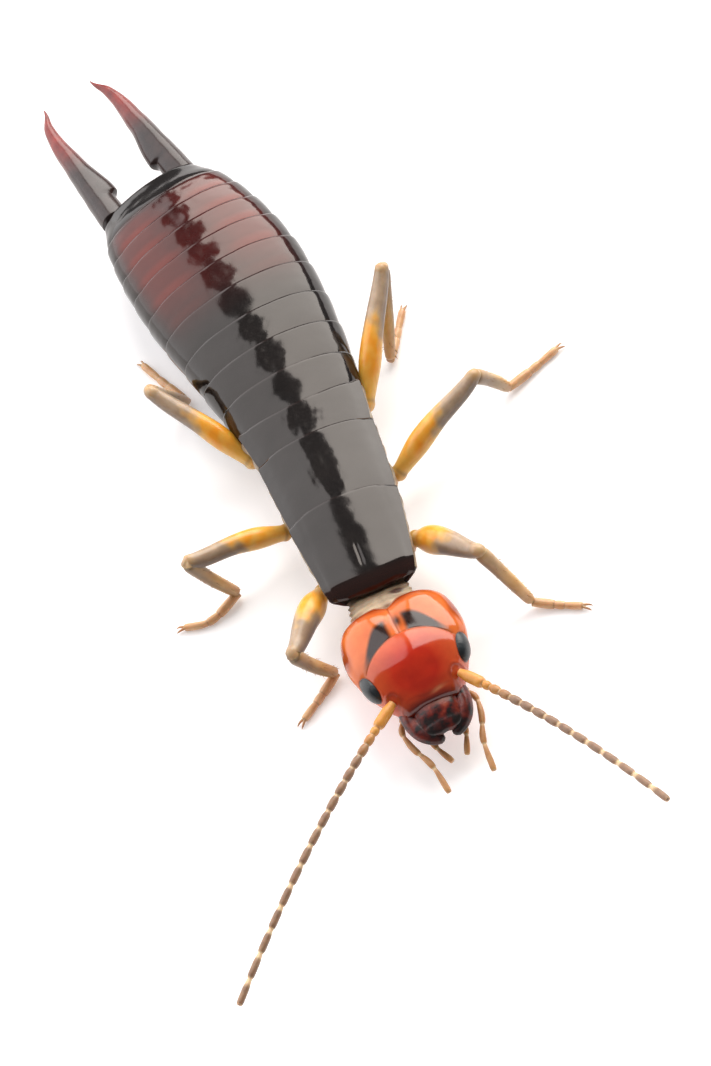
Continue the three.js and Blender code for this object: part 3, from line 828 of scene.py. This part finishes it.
def add_trunk():
    rings = [(name, thorax_nodes[name], *ends) for name, ends in thorax_rings.items()]
    front = thorax_rings["metanotum"][1]
    for i, length in enumerate(abdomen_lengths, start=1):
        rings.append((f"segment_{i}", f"abdomen_{i}", front, front + length))
        front += length
    for number, (name, node, front, rear) in enumerate(rings):
        add_piece(name, ring_shape(name, front, rear, number), "black", node)


add_trunk()


# Neck

neck_x = -0.15


def add_neck():
    """The soft folded neck, with a small dark plate on each side and painted shade towards the pronotum,
    where it runs under the rim.
    """
    y = np.linspace(-1.9, -3.5, 90)[:, None]
    angle = ring_angles(120)[None, :]
    sideways, upright = rounded(angle, 2.3)
    folds = 1 + 0.03 * np.sin((y + 0.05 * np.sin(3 * angle)) * turn / 0.24)
    half_width = smooth_through([(-3.5, 0.8), (-3.1, 0.9), (-2.6, 0.98), (-1.9, 0.9)])(y)
    top = smooth_through([(-3.5, 2.0), (-2.6, 2.1), (-2.1, 1.86), (-1.9, 1.8)])(y)
    underside = 1.42
    x = neck_x + sideways * half_width * folds
    z = (top + underside) / 2 + (top - underside) / 2 * upright * folds
    plate = hill(sideways, 0.55, 0.2) * ease(upright, 0.2, 0.6) * hill(y, -2.42, 0.14)
    # Painted shade, darker towards the pronotum, where the neck runs under its rim.
    plate = plate + 0.65 * ease(y, -2.8, -2.2)
    shape = loft(np.stack([x, np.broadcast_to(y, x.shape), z], -1), plate=np.clip(plate, 0, 1))
    add_piece("neck_folds", shape.raised(0.012 * waves(shape.points, 0.35, 21)), "neck", "neck")


add_neck()

# Head

head_half_width, head_top, head_underside = measures(head_stations)


def in_head(points, side=1):
    """Body-frame places of points given in the head's frame, mirrored for the insect's right side."""
    return turned(np.asarray(points, float) * [side, 1, 1], head_turn) + head_origin


def seam_y(x):
    """The seam between the face and the two lobes, from eye to eye."""
    return -1.26 - 0.33 * x**2


def eye_distance(points):
    """How far outside the nearer eyeball points of the head are, in millimetres."""
    x, y, z = points.T
    in_eye = turned(np.stack([np.abs(x), y, z], -1) - eye_place, eye_toe_in)
    share = np.linalg.norm(in_eye / eye_size, axis=1)
    return (share - 1) * np.linalg.norm(in_eye, axis=1) / np.maximum(share, 0.01)


def head_relief(points):
    """Height of the head's folds and domes over its smooth form, with its colour values."""
    x, y, z = points.T
    upper = ease(z, 1.75, 2.15)
    beside = np.abs(x)
    to_seam = y - seam_y(x)
    inside_face = ease(-to_seam, -0.03, 0.06)
    seam = hill(to_seam, 0, 0.03) * upper * (1 - ease(beside, 1.3, 1.42))
    crown = hill(x, 0, 0.03) * ease(to_seam, -0.02, 0.02) * (1 - ease(y, -0.2, -0.05)) * upper
    lobes = hill(beside, 0.8, 0.6) * hill(y, -0.3, 0.5) * upper
    face = hill(beside, 0, 0.95) * hill(y, -2.05, 0.75) * inside_face * upper
    brow = y + 3.02 + 0.1 * hill(x, 0, 0.4)
    edge = hill(brow, 0, 0.04) * upper * (1 - ease(beside, 0.6, 0.75))
    dents = hill(beside, 0.4, 0.16) * hill(y, -2.5, 0.14) * upper
    sockets = np.hypot(beside - 1.02, y + 2.86)
    rim = hill(sockets, 0.24, 0.05) * ease(z, 1.5, 1.7)
    gap = eye_distance(points)
    moat = hill(gap, 0.01, 0.02)
    height = 0.11 * lobes + 0.09 * face + 0.02 * rim - 0.03 * hill(to_seam, 0.05, 0.3) * upper
    height -= 0.014 * seam + 0.02 * crown + 0.014 * edge + 0.014 * dents + 0.02 * moat
    smoke_reach = 0.78 - 0.5 * ease(beside, 0.5, 1.4)
    smoke = ease(to_seam, -0.02, 0.05) * (1 - ease(to_seam, smoke_reach - 0.22, smoke_reach)) * upper
    smoke *= ease(beside, 0.16, 0.34) * (1 - ease(beside, 1.0, 1.5))
    spot = 0.95 * hill(x, 0.09, 0.12) * hill(y, -0.85, 0.2)
    mouth = 0.9 * ease(-y, 2.95, 3.25)
    mouth = np.maximum(mouth, 0.35 * hill(sockets, 0.2, 0.08))
    # Painted shade where the head's surface rolls away, at its back and its outer sides.
    rolled_edge_shade = np.maximum(ease(y, -0.4, 0.0), ease(beside, 1.45, 1.7) * ease(y, -1.6, -1.0))
    values = {
        "rim": rolled_edge_shade * (1 - inside_face),
        "face": np.maximum(inside_face * upper, ease(-y, 2.3, 2.8)),
        "core": np.clip(1.35 * hill(x, -0.05, 1.1) * hill(y, -2.45, 0.9), 0, 1) * inside_face,
        "smoke": np.clip(np.maximum(0.98 * smoke, spot), 0, 1),
        "mouth": mouth,
        # Darker along the seam and crown grooves, and painted shade in the groove round each eye.
        "seam": np.clip(0.4 * seam + 0.4 * crown + 0.3 * moat, 0, 1),
        # A painted highlight line along the brow, on the left of the face only.
        "pale": 0.5 * edge * hill(x, 0.3, 0.2),
    }
    return height, values


def head_shape():
    """The smooth form of the head, with the notch at its back."""
    back, front = head_stations[0][0], head_stations[-1][0]
    length = back - front
    shares, size = round_ends(190, occiput_round / length, clypeus_round / length, end_count=26)
    y, size = (back - length * shares)[:, None], size[:, None]
    upper = np.linspace(0, math.pi, 230, endpoint=False)
    lower = np.linspace(math.pi, turn, 110, endpoint=False)
    sideways, upright = rounded(np.concatenate([upper, lower])[None, :], head_boxiness)
    x = sideways * head_half_width(y) * size
    half_height = (head_top(y) - head_underside(y)) / 2
    z = (head_top(y) + head_underside(y)) / 2 + upright * half_height * size
    notch = 0.22 * hill(x, 0, 0.24) * np.clip((y + 0.55) / 0.95, 0, 1)
    return loft(np.stack([x, y - notch, z], -1))


def add_head():
    shape = head_shape()
    height, _ = head_relief(shape.points)
    shape = shape.raised(height + 0.006 * waves(shape.points, 0.8, 31))
    _, shape.values = head_relief(shape.points)
    add_piece("head_capsule", shape.placed(in_head), "head", "head")


facet_pitch = 0.034
facet_height = 0.0012


def eye_shape(side):
    """A faceted eyeball."""
    across = np.linspace(0.02, math.pi - 0.02, 130)[:, None]
    angle = ring_angles(180)[None, :]
    upright = np.sin(across) * np.sin(angle)
    ball = np.stack([np.sin(across) * np.cos(angle), np.cos(across) + 0 * angle, upright], -1)
    shape = loft(ball * eye_size).placed(lambda points: turned(points, -eye_toe_in) + eye_place)
    _, u, v = shape.points.T / facet_pitch
    facets = sum(np.cos(turn * (u * math.cos(a) + v * math.sin(a))) for a in (0, turn / 6, turn / 3))
    return shape.raised(facet_height * facets).placed(lambda points: in_head(points, side))


add_head()
side_names = {"left": 1, "right": -1}
for side_name, side in side_names.items():
    add_piece(f"compound_eye_{side_name}", eye_shape(side), "eye", f"eye_{side_name}")

# Mouthparts

lip_root, lip_tip = -3.2, -4.1
lip_root_height, lip_tip_height = 1.72, 1.44
lip_half_width = 0.64
lip_thickness = 0.17


def lip_shape():
    """The hinged upper lip, with a soft crease across it, a dent in its front edge and a painted highlight
    near its root.
    """
    t = np.concatenate([[0.0, 0.01, 0.03], np.linspace(0.06, 0.9, 40), [0.93, 0.96, 0.98, 0.992, 1.0]])
    size = np.sqrt(np.clip(1 - t**5, 0.002, 1)) * np.minimum(1, 0.7 + t * 12)
    angle = ring_angles(120)[None, :]
    sideways, upright = rounded(angle, 2.6)
    t = t[:, None]
    x = sideways * lip_half_width * size[:, None]
    y = lip_root + (lip_tip - lip_root) * t + 0.05 * hill(x, 0, 0.14) * ease(t, 0.7, 1.0)
    z = lip_root_height + (lip_tip_height - lip_root_height) * t
    z = z + lip_thickness * upright * size[:, None] ** 0.6
    z = z - 0.12 * (x / lip_half_width) ** 2 + 0.03 * hill(t, 0.3, 0.2) - 0.006 * hill(t, 0.62, 0.06)
    dark = 0.75 * ease(t, 0.3, 0.9) * (1 - 0.5 * hill(x, 0.15, 0.15))
    # A painted highlight across the lip's root, on its left side.
    pale = 0.25 * hill(t, 0.12, 0.08) * hill(x, 0.2, 0.3)
    return loft(np.stack([x, y, z], -1), tip=dark, pale=pale).placed(in_head)


mandible_points = [(0.74, -2.75, 1.36), (0.72, -3.3, 1.32), (0.5, -3.85, 1.26), (0.16, -4.13, 1.2)]
mandible_radius = smooth_through([(0, 0.3), (0.5, 0.3), (0.85, 0.2), (0.97, 0.13), (1, 0.06)])
mandible_middle, mandible_flatness = 1.24, 0.95
mandible_sides = 36


def mandible_shape(side):
    """A stout jaw, dark at its biting edge, with teeth on the inner side near the tip."""
    path = through(mandible_points)
    shares = np.linspace(0.0, 1.0, 90)
    dark = 0.8 * ease(shares, 0.45, 0.95)
    shape = rod(path, shares, mandible_radius(shares), mandible_sides, tip=dark)
    along, _ = along_and_top(shares, mandible_sides)
    x, y, z = shape.points.T
    inward = np.clip((path.point(along)[:, 0] - x) / 0.2, 0, 1)
    teeth = 0.03 * (hill(along, 0.9, 0.025) + hill(along, 0.82, 0.025) + 0.7 * hill(along, 0.73, 0.03))
    height = mandible_middle + (z - mandible_middle) * mandible_flatness
    shape.points = np.stack([x - teeth * inward, y, height], -1)
    return shape.placed(lambda points: in_head(points, side))


add_piece("upper_lip", lip_shape(), "mouth", "labrum")
for side_name, side in side_names.items():
    add_piece(f"jaw_{side_name}", mandible_shape(side), "mouth", f"mandible_{side_name}")


# Feelers and palps


def bead_profile(u, waist, shoulder, length):
    """Share of full thickness along one bead: a narrow root, full past its middle, round at its end."""
    rise = waist + (1 - waist) * ease(u, 0.0, shoulder) ** 0.8
    end = np.sqrt(np.clip((1 - u) / (0.12 / length), 0, 1))
    return rise * (waist * 0.9 + (1 - waist * 0.9) * end**0.7)


# Rows along one bead, as shares of its length.
bead_rows = np.array([0.0, 0.03, 0.07, 0.12, 0.18, 0.27, 0.38, 0.5, 0.65, 0.78, 0.86, 0.92, 0.96, 0.985])


def beaded(path, lengths, radii, waist, shoulder, joint_reach, joint_tone, stem=(), sides=20):
    """A chain of beads along a path, pale at its joints. radii holds each bead's full radius."""
    shares, sizes, joints = [], [], []
    at = 0.0
    for length, radius, reach, tone in zip(lengths, radii, joint_reach, joint_tone):
        shares.append((at + bead_rows * length) / sum(lengths))
        sizes.append(radius * bead_profile(bead_rows, waist, shoulder, length))
        pale = np.maximum(1 - ease(bead_rows, reach * 0.6, reach), ease(bead_rows, 0.95, 0.985))
        joints.append(pale * tone)
        at += length
    shares = np.concatenate([*shares, [0.997, 1.0]])
    radius = np.concatenate([*sizes, radii[-1] * np.array([0.3, 0.1])])
    stems = np.zeros(len(lengths))
    stems[: len(stem)] = stem
    stems = np.append(np.repeat(stems, len(bead_rows)), [0, 0])
    return rod(path, shares, radius, sides, joint=np.append(np.concatenate(joints), [0, 0]), stem=stems)


antennae = {
    "left": dict(root=(1.02, -2.86, 2.0), bend=(3.05, -6.05, 2.2), tip=(4.42, -10.11, 2.9), beads=13),
    "right": dict(root=(-1.02, -2.82, 2.0), bend=(-4.72, -5.44, 2.0), tip=(-8.37, -9.21, 1.6), beads=15),
}
scape_length, pedicel_length, first_bead = 0.85, 0.25, 0.34


def antenna_shape(root, bend, tip, beads):
    """A feeler: a long first joint, a short one, and beads that grow longer towards the tip."""
    path = bow(*(in_head(spot) for spot in (root, bend, tip)))
    flagellum = path.length - scape_length - pedicel_length
    growth = 2 * (flagellum - beads * first_bead) / (beads * (beads - 1))
    lengths = [scape_length, pedicel_length] + [first_bead + growth * i for i in range(beads)]
    radii = [0.17, 0.13, *np.linspace(0.13, 0.1, beads)]
    reach = [0.06, 0.2, *np.linspace(0.12, 0.32, beads)]
    tone = [0.3, 0.3, *np.linspace(0.4, 1.0, beads)]
    return beaded(path, lengths, radii, 0.66, 0.42, reach, tone, stem=(1.0, 0.9, 0.55, 0.25))


palp_radius = 0.095
long_palp_points = [
    (0.84, -2.7, 1.12),
    (1.14, -3.18, 1.0),
    (1.1, -3.6, 0.94),
    (0.8, -4.44, 0.8),
    (0.69, -5.36, 0.56),
]
short_palp_points = [(0.42, -3.0, 1.1), (0.5, -3.75, 0.76), (0.22, -4.48, 0.54)]
long_palp_lengths = [0.3, 0.4, 0.75, 0.6, 0.85]
short_palp_lengths = [0.4, 0.5, 0.5]


def palp_shape(points, lengths, side):
    path = through([in_head(spot, side) for spot in points])
    count = len(lengths)
    radii = [palp_radius * 1.25] + [palp_radius] * (count - 2) + [palp_radius * 0.95]
    return beaded(path, lengths, radii, 0.66, 0.6, [0.14] * count, [0.8] * count)


for side_name, side in side_names.items():
    add_piece(f"feeler_{side_name}", antenna_shape(**antennae[side_name]), "feeler", f"antenna_{side_name}")
    long_palp = palp_shape(long_palp_points, long_palp_lengths, side)
    add_piece(f"long_palp_{side_name}", long_palp, "palp", f"maxillary_palp_{side_name}")
    short_palp = palp_shape(short_palp_points, short_palp_lengths, side)
    add_piece(f"short_palp_{side_name}", short_palp, "palp", f"labial_palp_{side_name}")

# Legs

hip_height = 1.04
ankle_height = 0.24
foot_radius = 0.12
claw_length = 0.27
tarsus_shares = (0.44, 0.2, 0.36)
leg_sides = 48
up = np.array([0.0, 0.0, 1.0])


def leg(hip, knee, ankle, claws, thigh_radius, instep=None):
    """A leg's joints from the hip to the toe, its foot flat on the floor, and its thigh's radius."""
    ankle = np.array([*ankle, ankle_height])
    claws = np.array([*claws, foot_radius])
    middle = (ankle + claws)[:2] / 2 if instep is None else instep
    instep = np.array([*middle, foot_radius])
    toe = claws - claw_length * unit(claws - instep)
    hip = np.array([*hip, hip_height])
    return hip, np.array(knee), ankle, instep, toe, thigh_radius


# The hip, knee, ankle and claw tips of each leg, and the half height of its thigh.
legs = {
    "front_left": leg((1.45, -0.33), (2.95, -2.64, 2.4), (3.76, -3.46), (5.24, -4.36), 0.44),
    "front_right": leg((-1.5, -0.7), (-3.01, -3.0, 2.05), (-2.13, -2.92), (-3.72, -4.0), 0.42),
    "middle_left": leg((1.7, 1.9), (4.96, 3.06, 2.4), (5.81, 3.79), (7.84, 4.55), 0.36),
    "middle_right": leg(
        (-1.72, 1.7), (-4.71, 1.18, 2.4), (-3.79, 1.06), (-5.88, 0.86), 0.34, instep=(-5.0, 0.62)
    ),
    "hind_left": leg((1.75, 4.55), (3.9, 7.76, 2.8), (3.04, 6.52), (4.13, 8.34), 0.36),
    "hind_right": leg((-1.8, 4.4), (-3.75, 7.09, 2.8), (-2.95, 8.22), (-3.83, 10.51), 0.36),
}


def hip_shape(hip):
    """The short first joint, from under the body out to the hip."""
    root = hip + np.array([-math.copysign(0.8, hip[0]), -0.3, 0.2])
    path = bow(root, (root + hip) / 2 + 0.04 * up, hip)
    shares, size = round_ends(30, 0.35, 0.3)
    radius = smooth_through([(0, 0.41), (0.6, 0.38), (1, 0.31)])(shares) * size
    band = 0.5 * ease(shares, 0.3, 0.6)
    dark = 0.35 * ease(shares, 0.86, 0.95)
    shape = rod(path, shares, radius, 40, pale=0.9 + 0 * shares, band=band, dark=dark)
    return shape.raised(0.012 * waves(shape.points, 0.3, 41))


def thigh_shape(hip, knee, ankle, thickest):
    """The arched thigh, which turns over the knee into the shin."""
    kneeward, shinward = unit(knee - hip), unit(ankle - knee)
    arch = (hip + knee) / 2 + 0.19 * up
    bend = [knee - 0.2 * kneeward, knee + 0.02 * up, knee + 0.16 * shinward]
    path = through([hip - 0.08 * kneeward, arch, *bend])
    shares, size = round_ends(90, 0.2 / path.length, 0.2 / path.length)
    waist = [(0, 0.22), (0.06, 0.27), (0.1, 0.25)]
    thickness = waist + [(0.33, thickest), (0.58, 0.88 * thickest), (0.82, 0.27), (1, 0.22)]
    radius = smooth_through(thickness)(shares) * size
    shape = rod(path, shares, radius, leg_sides, 0.92)
    along, top = along_and_top(shares, leg_sides)
    ragged = along - 0.1 * ease(top, 0.75, 1.0) + 0.03 * waves(shape.points, 0.35, 43)
    grey = ease(ragged, 0.4, 0.6) * (1 - 0.5 * ease(along, 0.9, 1.0))
    streak = np.clip(0.75 + 0.25 * waves(shape.points, 0.3, 44), 0, 1)
    shape.values = {
        "amber": streak * ease(top, 0.3, 0.8) * ease(along, 0.12, 0.34) * (1 - grey),
        "pale": 0.4 * (1 - ease(along, 0.06, 0.14)),
        "band": grey,
        # Dark ring near the thigh's root, and painted shade on its underside, heavier in the taupe band.
        "dark": 0.4 * hill(along, 0.085, 0.015) + (0.15 + 0.6 * grey) * (1 - ease(top, 0.5, 0.97)),
    }
    return shape


def shin_and_bristles(hip, knee, ankle, seed):
    """The shin, bowed outward, and the short hairs on it."""
    start = knee - 0.04 * unit(ankle - knee)
    outward = unit((knee - (ankle + hip) / 2) * [1, 1, 0])
    path = bow(start, start + 0.45 * (ankle - start) + 0.14 * outward, ankle)
    shares, size = round_ends(60, 0.2 / path.length, 0.14 / path.length)
    thickness = [(0, 0.225), (0.12, 0.235), (0.3, 0.215), (0.6, 0.205), (0.9, 0.175), (1, 0.15)]
    radius = smooth_through(thickness)(shares) * size
    shin = rod(path, shares, radius, leg_sides, 0.95, pale=0.5 + 0.4 * ease(shares, 0.5, 1.0))
    along, top = along_and_top(shares, leg_sides)
    shin.values["band"] = 0.6 * (1 - ease(along, 0.2, 0.6))
    # Painted shade on the shin's underside, over a slight darkening all round, fading towards the ankle.
    shin_underside_shade = 0.08 + 0.6 * (1 - ease(top, 0.5, 0.97))
    shin.values["dark"] = shin_underside_shade * (1 - 0.5 * ease(along, 0.5, 1.0))
    return shin, bristles(path, shares, radius, seed)


bristle_count = 40
bristle_length = 0.14
bristle_radii = [0.009, 0.007, 0.004, 0.002]


def bristles(path, shares, radius, seed):
    """Short stiff hairs that lean along a limb."""
    draw = np.random.default_rng(seed)
    at = np.sort(draw.uniform(0.15, 0.97, bristle_count))
    around = draw.uniform(0, turn, bristle_count)
    along, across, above = path.directions(at)
    out = np.cos(around)[:, None] * across + np.sin(around)[:, None] * above
    roots = path.point(at) + 0.85 * np.interp(at, shares, radius)[:, None] * out
    hairs = []
    for root, outward, ahead in zip(roots, out, along):
        reach = bristle_length * draw.uniform(0.7, 1.2)
        bend = root + 0.5 * reach * unit(outward + 0.6 * ahead)
        hair = bow(root, bend, root + reach * unit(0.75 * outward + ahead))
        hairs.append(rod(hair, np.array([0, 0.4, 0.8, 1.0]), bristle_radii, 6))
    return joined(hairs)


def foot_shape(ankle, instep, toe):
    """Three tarsal joints that lie flat on the floor."""
    path = through([ankle - 0.02 * up, instep, toe])
    lengths = [share * path.length for share in tarsus_shares]
    shape = beaded(path, lengths, [0.145, 0.128, 0.115], 0.86, 0.5, [0.05] * 3, [1.0] * 3, sides=24)
    shape.points[:, 2] = np.maximum(shape.points[:, 2], 0.0)
    joint = shape.values["joint"]
    shape.values = {"pale": np.ones_like(joint), "dark": 0.25 * joint}
    return shape


def claw_shapes(instep, toe):
    """Two curved claws that spread from the last joint."""
    ahead = unit((toe - instep) * [1, 1, 0])
    aside = np.cross(ahead, up)
    shapes = []
    for side in side_names.values():
        bend = toe + 0.5 * claw_length * ahead + side * 0.08 * aside + 0.03 * up
        tip = toe + claw_length * ahead + side * 0.08 * aside
        tip[2] = 0.025
        path = bow(toe - 0.06 * ahead, bend, tip)
        shares = np.linspace(0, 1, 24)
        radius = smooth_through([(0, 0.055), (0.3, 0.042), (0.8, 0.022), (1, 0.006)])(shares)
        dark = 0.25 + 0.4 * ease(shares, 0.2, 0.9)
        shapes.append(rod(path, shares, radius, 12, pale=np.ones(24), dark=dark))
    return joined(shapes)


def add_leg(name, hip, knee, ankle, instep, toe, thigh_radius):
    shin, hairs = shin_and_bristles(hip, knee, ankle, seed=len(name))
    add_piece(f"hip_{name}", hip_shape(hip), "leg", f"coxa_{name}")
    add_piece(f"thigh_{name}", thigh_shape(hip, knee, ankle, thigh_radius), "leg", f"femur_{name}")
    add_piece(f"shin_{name}", shin, "leg", f"tibia_{name}")
    add_piece(f"bristles_{name}", hairs, "bristle")
    add_piece(f"foot_{name}", foot_shape(ankle, instep, toe), "leg", f"tarsus_{name}")
    add_piece(f"claws_{name}", claw_shapes(instep, toe), "leg")


for leg_name, joints in legs.items():
    add_leg(leg_name, *joints)

# Forceps and the small plate between them

tail_origin = 14.9
forceps_turn = math.radians(12)
forceps_root, forceps_tip = -0.2, 4.885
forceps_height, forceps_rise = 1.8, 0.2
# Distance behind the tail's origin, then distance from its middle and half width there.
forceps_stations = [
    (forceps_root, 1.24, 0.46),
    (1.6, 1.19, 0.4),
    (2.6, 1.18, 0.33),
    (3.5, 1.17, 0.24),
    (4.2, 1.08, 0.16),
    (forceps_tip, 0.85, 0.05),
]
forceps_from_middle, forceps_half_width = measures(forceps_stations)


def in_tail(points):
    origin = [-tail_bend * (tail_origin - bend_start) ** 2, tail_origin, 0]
    return turned(points, forceps_turn) + origin


def forceps_shape(side):
    """One arm: a broad base that ends in a tooth on its inner edge, and a fine incurved tip."""
    rows = [np.linspace(forceps_root, 1.6, 120), np.linspace(1.62, forceps_tip, 110)]
    along = np.concatenate(rows)[:, None]
    angle = ring_angles(64)[None, :]
    half_width = forceps_half_width(along) * np.clip((forceps_tip + 0.055 - along) / 0.35, 0, 1) ** 0.5
    tooth = 0.17 * ease(along, 0.6, 0.8) * (1 - ease(along, 0.86, 2.4))
    inward = np.maximum(0, -np.cos(angle)) ** 1.5 * tooth
    thickness = np.minimum(0.42, half_width * 1.1)
    x = side * (forceps_from_middle(along) + half_width * np.cos(angle) - inward)
    ridge = 1 + 0.08 * np.cos(2 * (angle - 0.9)) * (1 - ease(along, 1.5, 3.0))
    share = (along - forceps_root) / (forceps_tip - forceps_root)
    z = forceps_height + forceps_rise * share + thickness * np.sin(angle) * ridge
    y = np.broadcast_to(along, x.shape)
    shape = loft(np.stack([x, y, z], -1), red=ease(along, 1.7, 3.4))
    return shape.raised(0.004 * waves(shape.points, 0.6, 51)).placed(in_tail)


def pygidium_shape():
    """The small blunt plate between the roots of the forceps."""
    inset, size = end_rows(12)
    along = np.concatenate([np.linspace(-0.3, 0.0, 20), 0.1 - 0.1 * inset[::-1]])
    size = np.concatenate([np.ones(20), size[::-1]])[:, None]
    angle = ring_angles(80)[None, :]
    sideways, upright = rounded(angle, 2.4)
    x = 0.54 * sideways * (0.35 + 0.65 * size)
    z = 1.77 + 0.3 * upright * size
    y = np.broadcast_to(along[:, None], x.shape)
    return loft(np.stack([x, y, z], -1), edge=0.2 * ease(along, 0.0, 0.1)[:, None]).placed(in_tail)


for side_name, side in side_names.items():
    add_piece(f"pincer_{side_name}", forceps_shape(side), "forceps", f"forceps_{side_name}")
add_piece("tail_plate", pygidium_shape(), "black", "pygidium")

# Floor and light

floor_half_size = 2.0


def add_floor():
    mesh = bpy.data.meshes.new("floor")
    reach = floor_half_size
    corners = [(-reach, -reach, 0), (reach, -reach, 0), (reach, reach, 0), (-reach, reach, 0)]
    mesh.from_pydata(corners, [], [(0, 1, 2, 3)])
    finish = Finish("floor_white")
    grain = finish.noise(30.0, 2.0)
    finish.set(Base_Color=finish.ramp(grain, [(0.3, "edebeb"), (0.7, "f0eeee")]), Roughness=0.9)
    finish.shader.inputs["Specular IOR Level"].default_value = 0.2
    finish.set(Emission_Color=(1.0, 0.99, 0.99, 1), Emission_Strength=0.28)
    mesh.materials.append(finish.material)
    added("floor", mesh)


sheet_distance = 0.7


def add_softbox(name, tilts, reach, radiance, tint):
    """A sheet of soft light over the insect, parallel to its length.

    tilts are where the sheet begins and ends, as angles from overhead towards the insect's left,
    and reach is how far behind the insect it begins and ends, in metres.
    """
    low, high = np.radians(tilts).tolist()
    near, far = reach
    middle = (low + high) / 2
    width = 2 * sheet_distance * math.tan((high - low) / 2)
    depth = far - near
    data = bpy.data.lights.new(name, "AREA")
    data.shape = "RECTANGLE"
    data.size = width
    data.size_y = depth
    data.energy = radiance * math.pi * width * depth
    data.color = tint
    light = added(name, data)
    away = Vector((math.sin(middle), 0, math.cos(middle)))
    light.location = sheet_distance * away + Vector((0, (near + far) / 2, 0))
    across = Vector((math.cos(middle), 0, -math.sin(middle)))
    light.rotation_mode = "QUATERNION"
    light.rotation_quaternion = Matrix((across, away.cross(across), away)).transposed().to_quaternion()
    light.visible_camera = False


def add_light():
    world = bpy.data.worlds.new("world")
    world.use_nodes = True
    background = world.node_tree.nodes["Background"]
    background.inputs["Color"].default_value = (0.95, 0.97, 1.0, 1)
    background.inputs["Strength"].default_value = 0.2
    bpy.context.scene.world = world
    add_softbox("sheet_left", (4, 74), (0.15, 1.5), radiance=5.4, tint=(1.0, 0.97, 0.93))
    add_softbox("sheet_right", (-90, -5), (-0.02, 2.4), radiance=2.3, tint=(0.98, 0.98, 1.0))


add_floor()
add_light()
bpy.context.scene.view_settings.view_transform = "Standard"
